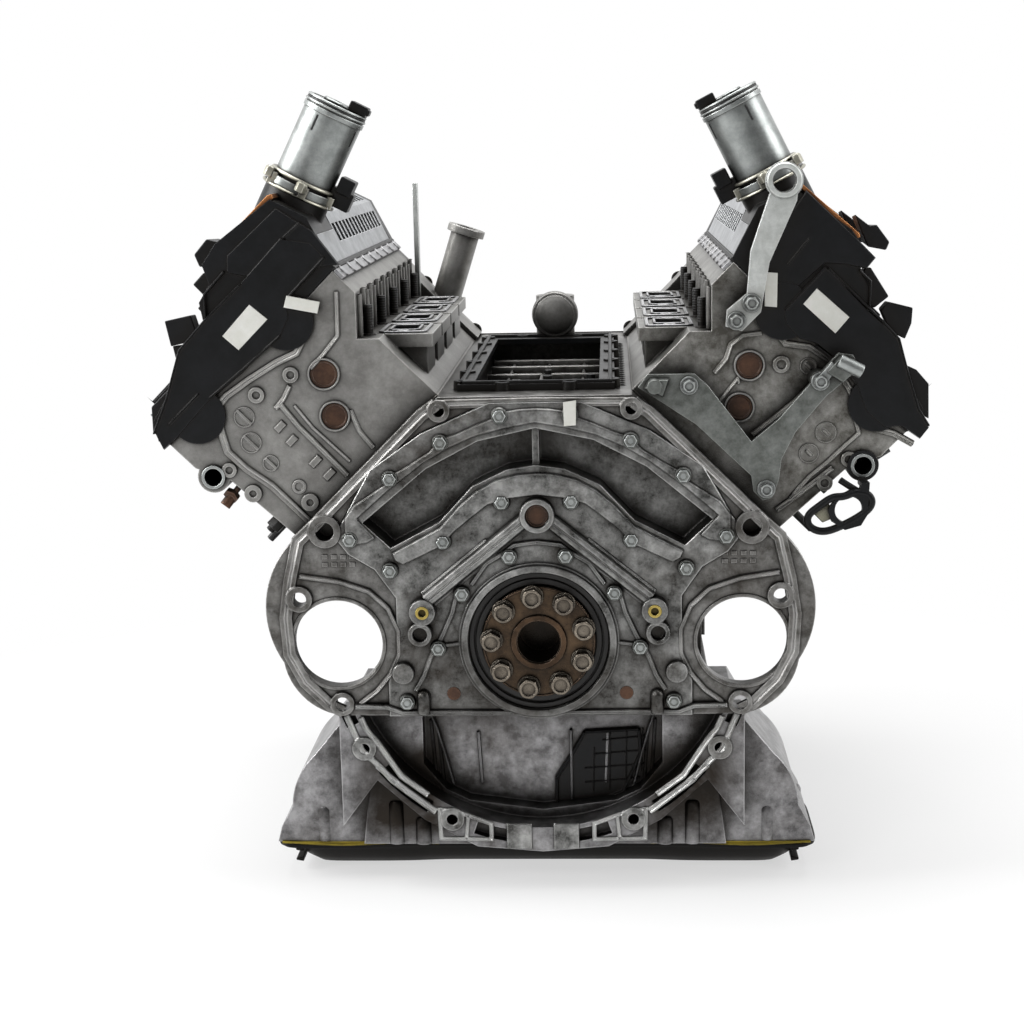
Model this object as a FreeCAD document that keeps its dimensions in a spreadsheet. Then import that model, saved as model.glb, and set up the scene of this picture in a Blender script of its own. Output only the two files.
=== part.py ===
import FreeCAD, Part
import Sketcher
import math
import os

# Complete 90 degree V8 petrol engine, stripped of its manifolds and flywheel.
# Frame: X across the engine, Y from the flywheel end towards the belt end, Z up.
# The origin lies on the crank axis in the block's rear face, where the gearbox bolts on.

doc = FreeCAD.newDocument("V8Engine")
sheet = doc.addObject("Spreadsheet::Sheet", "Sizes")

SIZES = {
    # Cylinders and running gear
    "cylinder_bore": 92.0,
    "bore_pitch": 98.0,
    "stroke": 82.7,
    "rod_length": 140.5,
    "rod_width": 17.0,
    "first_pin": 103.0,
    "bank_offset": 18.0,
    "deck_height": 215.0,
    "crown_height": 32.0,
    "skirt_length": 18.0,
    "piston_gap": 0.45,
    "wrist_pin_radius": 11.0,
    "main_radius": 35.0,
    "pin_radius": 27.0,
    "shell_wall": 2.0,
    "running_gap": 0.4,
    "main_width": 26.0,
    "web_thickness": 14.0,
    "counterweight_radius": 76.0,
    "case_radius": 86.0,
    # Block
    "block_length": 470.0,
    "deck_inner": 95.0,
    "deck_outer": 86.0,
    "case_half": 140.0,
    "rail_depth": 70.0,
    "bulkhead": 24.0,
    "flange_plate": 12.0,
    "starter_across": 180.7,
    "starter_radius": 40.0,
    "valley_half": 64.0,
    "valley_depth": 28.0,
    # Rear end
    "cover_depth": 14.0,
    "cover_proud": 3.0,
    "arch_depth": 36.0,
    "seal_radius": 62.5,
    "seal_width": 12.0,
    "crank_flange_radius": 50.3,
    "crank_flange_proud": 8.0,
    "flange_bolt_circle": 42.0,
    "pilot_radius": 19.0,
    "hex_large": 17.0,
    "hex_small": 10.0,
    # Heads and covers
    "gasket_thickness": 1.5,
    "head_rear": 12.0,
    "head_length": 444.0,
    "head_top": 356.0,
    "head_floor": 262.0,
    "head_wall": 8.0,
    "cam_inlet": 49.0,
    "cam_exhaust": 67.0,
    "cam_radius": 14.0,
    "lobe_base": 16.0,
    "lobe_nose": 19.0,
    "valve_length": 103.0,
    "spring_radius": 10.5,
    "intake_level": 270.0,
    "intake_wall": 155.0,
    "rail_across": 98.0,
    "rail_up": 309.0,
    "rail_radius": 10.5,
    "cover_wall": 4.0,
    "eccentric_up": 404.0,
    "eccentric_in": 78.0,
    "motor_radius": 27.0,
    "motor_length": 84.0,
    "motor_place": 60.0,
    # Sump
    "sump_floor": 203.0,
    "sump_gasket": 2.0,
    "pan_depth": 33.0,
    "pan_wide": 250.0,
    "pan_narrow": 168.0,
    "bell_inner": 178.0,
    "bell_outer": 201.0,
    "bell_bolt_circle": 189.5,
    # Front end
    "chest_depth": 52.0,
    "chain_first": 18.0,
    "chain_row": 12.0,
    "chain_width": 8.0,
    "chain_height": 6.0,
    "chest_wall": 5.0,
    "wheel_room": 48.0,
    "pump_height": 128.0,
    "pump_radius": 42.0,
    "cam_sprocket": 42.0,
    "crank_sprocket": 21.0,
    "nose_radius": 16.0,
    "pump_drop": 122.0,
    "damper_radius": 78.0,
    "damper_width": 30.0,
}

ROOT_HALF = math.sqrt(0.5)
BANK_TILT = 45.0
SIDES = ((1, "right"), (-1, "left"))


class Size:
    """A length together with the sheet formula that it comes from."""

    def __init__(self, value, formula):
        self.value = value
        self.formula = formula

    def joined(self, other, sign, value):
        return Size(value, "(%s %s %s)" % (self.formula, sign, other.formula))

    def __add__(self, other):
        other = as_size(other)
        return self.joined(other, "+", self.value + other.value)

    def __radd__(self, other):
        return as_size(other) + self

    def __sub__(self, other):
        other = as_size(other)
        return self.joined(other, "-", self.value - other.value)

    def __rsub__(self, other):
        return as_size(other) - self

    def __mul__(self, other):
        other = as_size(other)
        return self.joined(other, "*", self.value * other.value)

    def __rmul__(self, other):
        return as_size(other) * self

    def __truediv__(self, other):
        other = as_size(other)
        return self.joined(other, "/", self.value / other.value)

    def __neg__(self):
        return Size(0.0, "0") - self


def as_size(thing):
    if isinstance(thing, Size):
        return thing
    return Size(float(thing), repr(round(float(thing), 12)))


def root(size):
    return Size(math.sqrt(size.value), "sqrt(%s)" % size.formula)


class Sheet:
    """Gives each size of the sheet by its name."""

    def __getattr__(self, name):
        return Size(SIZES[name], "Sizes." + name)


for row, (alias, value) in enumerate(SIZES.items(), 1):
    sheet.set("A%d" % row, alias)
    sheet.set("B%d" % row, str(value))
    sheet.setAlias("B%d" % row, alias)
doc.recompute()
s = Sheet()

AXIS_TURNS = {
    "x": FreeCAD.Rotation(FreeCAD.Vector(0, 1, 0), 90),
    "y": FreeCAD.Rotation(FreeCAD.Vector(1, 0, 0), -90),
    "z": FreeCAD.Rotation(),
}
SKETCH_TURNS = {
    "x": FreeCAD.Rotation(FreeCAD.Vector(1, 1, 1), 120),
    "y": FreeCAD.Rotation(FreeCAD.Vector(1, 0, 0), 90),
    "z": FreeCAD.Rotation(),
}
AXIS_LINES = {
    "x": FreeCAD.Vector(1, 0, 0),
    "y": FreeCAD.Vector(0, 1, 0),
    "z": FreeCAD.Vector(0, 0, 1),
}
PLANE_ROLES = {"x": "YZ_Plane", "y": "XZ_Plane", "z": "XY_Plane"}

nodes = []


def bind(item, prop, size):
    """Ties one property of an object to the sheet."""
    item.setExpression(prop, as_size(size).formula)


def locate(item, x=0, y=0, z=0, prop="Placement"):
    for letter, size in (("x", x), ("y", y), ("z", z)):
        bind(item, "%s.Base.%s" % (prop, letter), size)


def turn(item, axis, degrees):
    """Turns an object about one of the engine's axes, on top of what it has."""
    extra = FreeCAD.Rotation(AXIS_LINES[axis], degrees)
    item.Placement = FreeCAD.Placement(FreeCAD.Vector(), extra) * item.Placement
    return item


def keep(label, item):
    """Makes an object one of the engine's pieces."""
    item.Label = label
    nodes.append(item)
    return item


def to_bank(item, side):
    """Lays a piece drawn upright over onto its bank."""
    item.Placement = FreeCAD.Placement(FreeCAD.Vector(),
                                       FreeCAD.Rotation(AXIS_LINES["y"], side * BANK_TILT))
    return item


def cylinder(radius, length, x=0, y=0, z=0, axis="y"):
    item = doc.addObject("Part::Cylinder", "Round")
    bind(item, "Radius", radius)
    bind(item, "Height", length)
    item.Placement.Rotation = AXIS_TURNS[axis]
    locate(item, x, y, z)
    return item


def cone(radius_1, radius_2, length, x=0, y=0, z=0, axis="y"):
    item = doc.addObject("Part::Cone", "Taper")
    bind(item, "Radius1", radius_1)
    bind(item, "Radius2", radius_2)
    bind(item, "Height", length)
    item.Placement.Rotation = AXIS_TURNS[axis]
    locate(item, x, y, z)
    return item


def box(x, y, z, width, depth, height):
    """A block given by its low corner and its three sizes."""
    item = doc.addObject("Part::Box", "Block")
    bind(item, "Length", width)
    bind(item, "Width", depth)
    bind(item, "Height", height)
    locate(item, x, y, z)
    return item


def hexagon(across_flats, length, x=0, y=0, z=0, axis="y"):
    item = doc.addObject("Part::Prism", "Hexagon")
    item.Polygon = 6
    bind(item, "Circumradius", as_size(across_flats) / math.sqrt(3))
    bind(item, "Height", length)
    item.Placement.Rotation = AXIS_TURNS[axis]
    locate(item, x, y, z)
    return item


def fuse(*items):
    if len(items) == 1:
        return items[0]
    item = doc.addObject("Part::MultiFuse", "Joined")
    item.Shapes = list(items)
    return item


def cut(base, *tools):
    item = doc.addObject("Part::Cut", "Machined")
    item.Base = base
    item.Tool = fuse(*tools)
    return item


def group(*items):
    item = doc.addObject("Part::Compound", "Set")
    item.Links = list(items)
    return item


def tube(outer, inner, length, x=0, y=0, z=0, axis="y"):
    return cut(cylinder(outer, length, x, y, z, axis), cylinder(inner, length, x, y, z, axis))


def mirrored(half):
    """Completes a profile whose right half runs from the top to the bottom.

    A third value on a point is the radius of the arc that runs on from it.
    """
    left = []
    for index in range(len(half) - 1, -1, -1):
        across, up = half[index][0], half[index][1]
        radius = half[index - 1][2:] if index > 0 else ()
        left.append((-as_size(across), up) + tuple(radius))
    points = [point for point in half if as_size(point[0]).value > 0]
    left = [point for point in left if as_size(point[0]).value < 0]
    on_axis_top = [p for p in half[:1] if as_size(p[0]).value == 0]
    on_axis_low = [tuple(p[:2]) + tuple(half[-2][2:]) for p in half[-1:]
                   if as_size(p[0]).value == 0]
    return on_axis_top + points + on_axis_low + left


def arc_middle(start, end, radius):
    """Point halfway along an arc: a positive radius keeps its centre on the left."""
    chord = end.sub(start)
    half = chord.Length / 2
    size = abs(radius)
    reach = math.sqrt(max(size * size - half * half, 0.0))
    normal = FreeCAD.Vector(-chord.y, chord.x, 0).normalize()
    sign = 1 if radius > 0 else -1
    centre = start.add(end).multiply(0.5).add(normal.multiply(sign * reach))
    away = start.add(end).multiply(0.5).sub(centre)
    if away.Length < 1e-9:
        away = FreeCAD.Vector(chord.y, -chord.x, 0).multiply(sign)
    return centre.add(away.normalize().multiply(size))


def draw_loop(sketch, points):
    """Adds one closed loop whose corners and radii are tied to the sheet."""
    places = [FreeCAD.Vector(as_size(p[0]).value, as_size(p[1]).value, 0) for p in points]
    ends = []
    for index, point in enumerate(points):
        start, end = places[index], places[(index + 1) % len(points)]
        if len(point) > 2:
            radius = as_size(point[2])
            middle = arc_middle(start, end, radius.value)
            # A sketch holds every arc anticlockwise, so the others are drawn from their end
            forward = radius.value > 0
            first, last = (start, end) if forward else (end, start)
            name = sketch.addGeometry(Part.Arc(first, middle, last), False)
            ends.append((name, 1, 2) if forward else (name, 2, 1))
            rule = sketch.addConstraint(Sketcher.Constraint("Radius", name, abs(radius.value)))
            sign = "" if radius.value > 0 else "-"
            bind_rule(sketch, rule, Size(0, sign + radius.formula))
        else:
            name = sketch.addGeometry(Part.LineSegment(start, end), False)
            ends.append((name, 1, 2))
    for index, place in enumerate(places):
        name, first, last = ends[index]
        before = ends[index - 1]
        sketch.addConstraint(Sketcher.Constraint("Coincident", before[0], before[2], name, first))
        pin_point(sketch, name, first, points[index])


def bind_rule(sketch, rule, size):
    if "Sizes." in size.formula:
        sketch.setExpression("Constraints[%d]" % rule, size.formula)


def pin_point(sketch, name, end, point):
    for kind, size in (("DistanceX", as_size(point[0])), ("DistanceY", as_size(point[1]))):
        rule = sketch.addConstraint(Sketcher.Constraint(kind, -1, 1, name, end, size.value))
        bind_rule(sketch, rule, size)


def draw_circle(sketch, x, z, radius):
    x, z, radius = as_size(x), as_size(z), as_size(radius)
    centre = FreeCAD.Vector(x.value, z.value, 0)
    ring = Part.Circle(centre, FreeCAD.Vector(0, 0, 1), radius.value)
    name = sketch.addGeometry(ring, False)
    pin_point(sketch, name, 3, (x, z))
    rule = sketch.addConstraint(Sketcher.Constraint("Radius", name, radius.value))
    bind_rule(sketch, rule, radius)


def prism(points, start, length, axis="y", holes=()):
    """A profile run straight along one axis. Round holes are (across, up, radius)."""
    sketch = doc.addObject("Sketcher::SketchObject", "Outline")
    sketch.Placement.Rotation = SKETCH_TURNS[axis]
    draw_loop(sketch, points)
    for hole in holes:
        draw_circle(sketch, *hole)
    locate(sketch, **{axis: start})
    item = doc.addObject("Part::Extrusion", "Run")
    item.Base = sketch
    item.DirMode = "Custom"
    item.Dir = AXIS_LINES[axis]
    bind(item, "LengthFwd", length)
    item.Solid = True
    return item


def turned(points, x=0, y=0, z=0):
    """A profile of (radius, along) points turned about an axis along Y."""
    sketch = doc.addObject("Sketcher::SketchObject", "HalfSection")
    draw_loop(sketch, points)
    locate(sketch, x, y, z)
    item = doc.addObject("Part::Revolution", "Turned")
    item.Source = sketch
    item.Axis = AXIS_LINES["y"]
    bind(item, "Base.x", x)
    bind(item, "Base.y", y)
    bind(item, "Base.z", z)
    item.Angle = 360
    item.Solid = True
    return item


class Casting:
    """A cast piece built up from pads and pockets on its own planes."""

    def __init__(self):
        self.body = doc.addObject("PartDesign::Body", "Casting")

    def plane(self, axis):
        role = PLANE_ROLES[axis]
        return [item for item in self.body.Origin.OriginFeatures if item.Role == role][0]

    def profile(self, loops, circles, start, axis, tilt=0):
        sketch = self.body.newObject("Sketcher::SketchObject", "Profile")
        sketch.AttachmentSupport = (self.plane(axis), [""])
        sketch.MapMode = "FlatFace"
        for loop in loops:
            draw_loop(sketch, loop)
        for circle in circles:
            draw_circle(sketch, *circle)
        start = as_size(start)
        if tilt:
            sketch.AttachmentOffset = FreeCAD.Placement(
                FreeCAD.Vector(), FreeCAD.Rotation(AXIS_LINES["y"], tilt))
            lean = math.radians(tilt)
            locate(sketch, start * math.sin(lean), 0, start * math.cos(lean), "AttachmentOffset")
        else:
            sign = -1 if axis == "y" else 1
            bind(sketch, "AttachmentOffset.Base.z", start * sign)
        return sketch

    def pad(self, loops, start, length, axis="y", circles=()):
        """Adds material from a plane towards the positive end of the axis."""
        sketch = self.profile(loops, circles, start, axis)
        pad = self.body.newObject("PartDesign::Pad", "Pad")
        pad.Profile = sketch
        pad.Reversed = axis == "y"
        bind(pad, "Length", length)
        return pad

    def pocket(self, loops, start, length, axis="y", circles=(), tilt=0):
        """Cuts from a plane: forwards along Y, and downwards or inwards on the others."""
        sketch = self.profile(loops, circles, start, axis, tilt)
        pocket = self.body.newObject("PartDesign::Pocket", "Pocket")
        pocket.Profile = sketch
        bind(pocket, "Length", length)
        return pocket

    def tilted_pad(self, loops, start, length, tilt):
        """Adds material upwards from a plane that leans about Y."""
        sketch = self.profile(loops, (), start, "z", tilt)
        pad = self.body.newObject("PartDesign::Pad", "Pad")
        pad.Profile = sketch
        bind(pad, "Length", length)

    def side_pad(self, loops, start, length, side):
        """Adds material outwards on one side, from a plane across X."""
        pad = self.pad(loops, start, length, "x")
        pad.Reversed = side < 0

    def side_pocket(self, loops, circles, start, length, side):
        """Cuts inwards from one side."""
        pocket = self.pocket(loops, start, length, "x", circles=circles)
        pocket.Reversed = side < 0


def rectangle(x, z, width, height):
    """Corners of a rectangle from its low corner."""
    return [(x, z), (as_size(x) + width, z), (as_size(x) + width, as_size(z) + height),
            (x, as_size(z) + height)]


def bolt(across, head, grip, x, y, z, shank):
    """A hexagon screw whose head stands behind the face at y."""
    return fuse(hexagon(across, head, x, as_size(y) - head, z),
                cylinder(shank, grip, x, y, z))


main_bearings = [s.first_pin + s.bore_pitch * (number - 0.5) for number in range(5)]
crank_pins = [s.first_pin + s.bore_pitch * number for number in range(4)]


def cylinder_place(side, number):
    return s.first_pin + s.bore_pitch * number + s.bank_offset * (side * 0.5)


def head_start(side):
    return s.head_rear + (s.bank_offset if side > 0 else as_size(0))


deck_inner_x = (s.deck_height - s.deck_inner) * ROOT_HALF
deck_inner_z = (s.deck_height + s.deck_inner) * ROOT_HALF
deck_outer_x = (s.deck_height + s.deck_outer) * ROOT_HALF
deck_outer_z = (s.deck_height - s.deck_outer) * ROOT_HALF
cap_half = s.main_radius + s.shell_wall + 25
gap = s.running_gap
crank_throw = s.stroke / 2

# Bolt places shared by the rear cover and the block behind it, as (across, up)
COVER_BOLTS = [
    (30.7, 203), (83, 180), (128.5, 148.4), (166, 94), (131, 65.6), (83, 91.5),
    (30.5, 126.5), (25, 77.5), (67.5, 44), (90, -6), (119.5, -56),
]
DOWEL_PLACE = (188.5, 101.0)
SIDE_BOLT_PLACE = (214.1, 39.3)
LOW_BOLT_PLACE = (178.7, -58.5)
TOP_BOLT_PLACE = (84.0, 207.4)
PLATE_HOLES = ((DOWEL_PLACE, 8.2), (SIDE_BOLT_PLACE, 6.5), (LOW_BOLT_PLACE, 6.5))


def cover_outline(extra=0.0):
    """Half profile of the rear end cover; extra opens it up for the block's recess."""
    return mirrored([
        (0, 214 + extra), (40, 214 + extra), (100 + extra, 188 + extra),
        (146 + extra, 156 + extra), (180 + extra, 96), (168 + extra, 80 - extra),
        (145 + extra, 66 - extra), (127 + extra, 40), (127 + extra, -12),
        (136 + extra, -38), (136 + extra, -s.rail_depth), (0, -s.rail_depth),
    ])


def arch_outline(extra=0.0):
    """Half profile of the deep arch pocket above the crank."""
    return mirrored([
        (0, 195 + extra), (54 + extra, 184 + extra), (100 + extra, 160 + extra),
        (158 + extra, 112 + extra), (130, 82 - extra), (86, 105 - extra),
        (56, 137 - extra), (25, 151.5 - extra), (0, 155 - extra),
    ])


MOUNT_BOSSES = ((200, -38), (200, -8), (306, -38), (306, -8))


def flange_screws(radius):
    """Circles of the screws between the crankcase and the sump, seen from above."""
    return [(side * (s.case_half + 10), place, radius) for side in (1, -1)
            for place in (176, 224, 276, 330, 378, 430)]


def make_block():
    casting = Casting()
    casting.pad([mirrored([
        (0, deck_inner_z), (deck_inner_x, deck_inner_z), (deck_outer_x, deck_outer_z),
        (deck_outer_x - 63, deck_outer_z - 63), (s.case_half, 14),
        (s.case_half, -s.rail_depth), (0, -s.rail_depth),
    ])], 0, s.block_length)
    ear = s.starter_across + s.starter_radius
    casting.pad([mirrored([
        (0, deck_inner_z), (deck_inner_x, deck_inner_z),
        (deck_inner_x + 9, deck_inner_z - 10), (deck_outer_x - 16, deck_outer_z + 16),
        (ear - 4, 94, -90), (ear + 10, -20, -60), (s.starter_across, -s.rail_depth),
        (0, -s.rail_depth),
    ])], 0, s.flange_plate)
    # Seat of the rear cover, with the arch chamber and the crank's way through
    casting.pocket([cover_outline(0.4)], 0, s.cover_depth)
    casting.pocket([arch_outline(0.4)], s.cover_depth - 1, s.arch_depth - s.cover_depth + 1)
    casting.pocket([], 0, main_bearings[0], circles=[(0, 0, s.crank_flange_radius + 2)])
    casting.pocket([], 0, s.flange_plate + 4, circles=[
        (side * s.starter_across, -2.6, s.starter_radius) for side in (1, -1)])
    # Open crankcase between the bulkheads, and the tunnel that holds the bearing caps
    for place in main_bearings[:4]:
        casting.pocket([[
            (-s.case_radius, -s.rail_depth), (s.case_radius, -s.rail_depth),
            (s.case_radius, 0, s.case_radius), (0, s.case_radius, s.case_radius),
            (-s.case_radius, 0),
        ]], place + s.bulkhead / 2, s.bore_pitch - s.bulkhead)
    tunnel = s.block_length - s.cover_depth
    casting.pocket([rectangle(-cap_half - gap, -s.rail_depth, (cap_half + gap) * 2,
                              s.rail_depth)], s.cover_depth, tunnel)
    casting.pocket([], s.cover_depth, tunnel,
                   circles=[(0, 0, s.main_radius + s.shell_wall + gap)])
    for side, _ in SIDES:
        casting.pocket([], s.deck_height, s.deck_height - 70, "z", tilt=side * BANK_TILT,
                       circles=[(0, cylinder_place(side, number), s.cylinder_bore / 2)
                                for number in range(4)])
    # Ribs, the bosses of the engine mounts and the lower flange on the outside of the crankcase
    for side, _ in SIDES:
        wall = (s.case_half - 1) * side
        for place in main_bearings[:4]:
            casting.side_pad([rectangle(place - 4, -s.rail_depth, 8, s.rail_depth + 8)],
                             wall, 8, side)
        casting.side_pad([rectangle(20, -s.rail_depth, s.block_length - 20, 8)], wall, 17, side)
        for place, level in MOUNT_BOSSES:
            casting.side_pad([rectangle(place - 11, level - 11, 22, 22)], wall, 18, side)
        casting.side_pocket([], [(place, level, 5.0) for place, level in MOUNT_BOSSES],
                            (s.case_half + 17) * side, 16, side)
    casting.pocket([], -s.rail_depth + 8, 8, "z", circles=flange_screws(3.4))
    # Coolant tray in the valley between the banks
    casting.pocket([rectangle(-s.valley_half, 40, s.valley_half * 2, s.block_length - 80)],
                   deck_inner_z, s.valley_depth, "z")
    casting.pocket([], 0, s.flange_plate + 4, circles=[
        (side * place[0], place[1], radius) for side in (1, -1)
        for place, radius in PLATE_HOLES])
    casting.pocket([], 0, 30, circles=[
        (side * TOP_BOLT_PLACE[0], TOP_BOLT_PLACE[1], 5.0) for side in (1, -1)])
    casting.pocket([], 0, s.cover_depth + 14, circles=[
        (side * x, z, 4.3) for side in (1, -1) for x, z in COVER_BOLTS])
    keep("engine_block", casting.body)


def make_rear_cover():
    casting = Casting()
    face = -s.cover_proud
    casting.pad([cover_outline()], face, s.cover_depth + s.cover_proud)
    casting.pad([arch_outline()], s.cover_depth - 2, s.arch_depth - s.cover_depth + 1)
    casting.pad([], face - 3, 8, circles=[(0, 0, s.seal_radius + 9)])
    casting.pocket([arch_outline(-3.5)], face, s.arch_depth - 4)
    casting.pad([rectangle(-3, 157, 6, 35)], face + 8, s.arch_depth - 12)
    casting.pocket([], face - 3, s.cover_depth + 30, circles=[(0, 0, s.seal_radius + 0.3)])
    casting.pocket([], face, s.cover_depth + s.cover_proud, circles=[
        (side * x, z, 4.3) for side in (1, -1) for x, z in COVER_BOLTS])
    keep("rear_end_cover", casting.body)

    case_screws.extend([
        bolt(s.hex_small, 7, s.cover_depth + s.cover_proud + 12, side * x, face, z, 4.0)
        for side in (1, -1) for x, z in COVER_BOLTS])
    keep("rear_main_seal", tube(s.seal_radius, s.crank_flange_radius + gap, s.seal_width))


PIN_ANGLES = (45.0, 135.0, -45.0, -135.0)


def make_crankshaft():
    rear = -s.crank_flange_proud
    pieces = [cylinder(s.crank_flange_radius, s.crank_flange_proud + 26, 0, rear, 0)]
    journal_end = main_bearings[4] + s.main_width / 2
    pieces.append(cylinder(s.main_radius, main_bearings[0] - 20, 0, 20, 0))
    for place in main_bearings:
        pieces.append(cylinder(s.main_radius, s.main_width, 0, place - s.main_width / 2, 0))
    for place, angle in zip(crank_pins, PIN_ANGLES):
        span = s.bore_pitch - s.main_width
        pin = cylinder(s.pin_radius, span - s.web_thickness, 0,
                       place - (span - s.web_thickness) / 2, crank_throw)
        throw = [pin]
        low = s.counterweight_radius * math.sin(math.radians(25))
        wide = s.counterweight_radius * math.cos(math.radians(25))
        top = s.pin_radius + 6
        for start in (place - span / 2, place + span / 2 - s.web_thickness):
            throw.append(prism([
                (top, crank_throw, top), (0, crank_throw + top, top), (-top, crank_throw),
                (-s.main_radius - 6, -8), (-wide, -low, s.counterweight_radius),
                (0, -s.counterweight_radius, s.counterweight_radius), (wide, -low),
                (s.main_radius + 6, -8),
            ], start, s.web_thickness))
        pieces.append(turn(fuse(*throw), "y", angle))
    pieces.append(cylinder(s.nose_radius, s.chest_depth + 60, 0, journal_end - 1, 0))
    holes = [cylinder(s.pilot_radius, 40, 0, rear, 0)]
    for number in range(9):
        angle = math.radians(97 + 40 * number)
        holes.append(cylinder(5.4, 34, s.flange_bolt_circle * math.cos(angle), rear,
                              s.flange_bolt_circle * math.sin(angle)))
    keep("crankshaft", cut(fuse(*pieces), *holes))

    bolts = []
    for number in range(9):
        angle = math.radians(97 + 40 * number)
        bolts.append(bolt(s.hex_large, 10, 22, s.flange_bolt_circle * math.cos(angle), rear,
                          s.flange_bolt_circle * math.sin(angle), 5.0))
    keep("crank_flange_bolts", group(*bolts))


def make_bearings():
    caps = []
    shells = []
    outer = s.main_radius + s.shell_wall
    for place in main_bearings:
        start = place - s.bulkhead / 2
        body = box(-cap_half, start, -s.rail_depth + 8, cap_half * 2, s.bulkhead,
                   s.rail_depth - 8)
        tools = [cylinder(outer + gap, s.bulkhead, 0, start, 0)]
        tools += [cylinder(5, 70, side * (cap_half - 10), place, -s.rail_depth + 8, "z")
                  for side in (1, -1)]
        caps.append(cut(body, *tools))
        shells.append(tube(outer, s.main_radius + gap, s.bulkhead - 4, 0, start + 2, 0))
    keep("main_bearing_caps", group(*caps))
    keep("main_bearing_shells", group(*shells))


case_screws = []
make_block()
make_rear_cover()
make_crankshaft()
make_bearings()


def banked(side, points):
    """Turns (outwards, up) points into a bank's own frame, where outwards changes sign."""
    if side > 0:
        return list(points)
    flipped = []
    for index in range(len(points) - 1, -1, -1):
        radius = points[index - 1][2:]
        flipped.append((-as_size(points[index][0]), points[index][1]) + tuple(radius))
    return flipped


def make_piston(side, number, label):
    """Piston with its pin. It is drawn at the height that its crank pin gives."""
    angle = math.radians(PIN_ANGLES[number] - side * BANK_TILT)
    swing = crank_throw * math.sin(angle)
    height = crank_throw * round(math.cos(angle), 6) + root(
        s.rod_length * s.rod_length - swing * swing)
    place = cylinder_place(side, number)
    outer = s.cylinder_bore / 2 - s.piston_gap
    low = height - s.skirt_length
    body = cylinder(outer, s.crown_height + s.skirt_length, 0, place, low, "z")
    slot = s.rod_width + 5
    inside = box(-30, place - slot / 2, low, 60, slot, s.skirt_length + 17)
    reliefs = [box(-outer, place + end, low, outer * 2, 14, s.skirt_length + 12)
               for end in (outer - 13.5, -outer - 0.5)]
    pin_length = outer * 2 - 30
    hole = cylinder(s.wrist_pin_radius + 0.3, pin_length, 0, place - pin_length / 2, height)
    pin = cylinder(s.wrist_pin_radius, pin_length - 2, 0, place - pin_length / 2 + 1, height)
    crown = cylinder(28, 3, 0, place, height + s.crown_height - 2, "z")
    piston = cut(body, inside, hole, crown, *reliefs)
    keep(label, to_bank(group(piston, pin), side))


def make_rod(side, number):
    """Connecting rod between its crank pin and its piston pin, drawn in its bank."""
    angle = math.radians(PIN_ANGLES[number] - side * BANK_TILT)
    place = cylinder_place(side, number)
    start = place - s.rod_width / 2
    lean = -math.degrees(math.asin(
        SIZES["stroke"] / 2 * math.sin(angle) / SIZES["rod_length"]))
    big = s.pin_radius + 9
    shank = prism([(-11, 20), (11, 20), (8, s.rod_length - 8), (-8, s.rod_length - 8)],
                  start + 3, s.rod_width - 6)
    solid = fuse(shank, cylinder(big, s.rod_width, 0, start, 0),
                 cylinder(s.wrist_pin_radius + 5, s.rod_width, 0, start, s.rod_length))
    rod = cut(solid, cylinder(s.pin_radius + 0.3, s.rod_width, 0, start, 0),
              cylinder(s.wrist_pin_radius + 0.3, s.rod_width, 0, start, s.rod_length))
    rod.Placement = FreeCAD.Placement(FreeCAD.Vector(), FreeCAD.Rotation(AXIS_LINES["y"], lean))
    locate(rod, crank_throw * math.sin(angle), 0, crank_throw * math.cos(angle))
    return to_bank(group(rod), side)


def make_running_gear():
    rods = []
    for side, name in SIDES:
        for number in range(4):
            cylinder_number = number + (1 if side > 0 else 5)
            make_piston(side, number, "piston_%d" % cylinder_number)
            rods.append(make_rod(side, number))
    keep("connecting_rods", group(*rods))


head_base = s.deck_height + s.gasket_thickness
INLET_TILT = -12.0
EXHAUST_TILT = 19.0
VALVE_ROWS = ((INLET_TILT, -20.0), (EXHAUST_TILT, 20.0))
VALVE_SPREAD = 18.0
VALVE_SEAT = 6.0


def valve_frames(side):
    """Tilt and foot of each valve of a bank: two inlet and two exhaust to a cylinder."""
    for number in range(4):
        for tilt, across in VALVE_ROWS:
            for step in (-VALVE_SPREAD, VALVE_SPREAD):
                yield tilt * side, across * side, cylinder_place(side, number) + step


def along_valve(item, tilt, across, place):
    item.Placement.Rotation = FreeCAD.Rotation(AXIS_LINES["y"], tilt)
    locate(item, across, place, head_base + VALVE_SEAT)
    return item


def head_cavity(grow=0.0):
    """Section of the oil space inside a head, as (outwards, up) points."""
    inner = -s.deck_inner - 15 + s.head_wall - grow
    floor = s.head_floor - grow
    return [(inner, s.head_top), (inner, 332 - grow), (-62 - grow, 292 - grow), (-62 - grow, floor),
            (80 + grow, floor), (80 + grow, 322 - grow), (94 + grow, 336 - grow),
            (94 + grow, s.head_top)]


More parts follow.
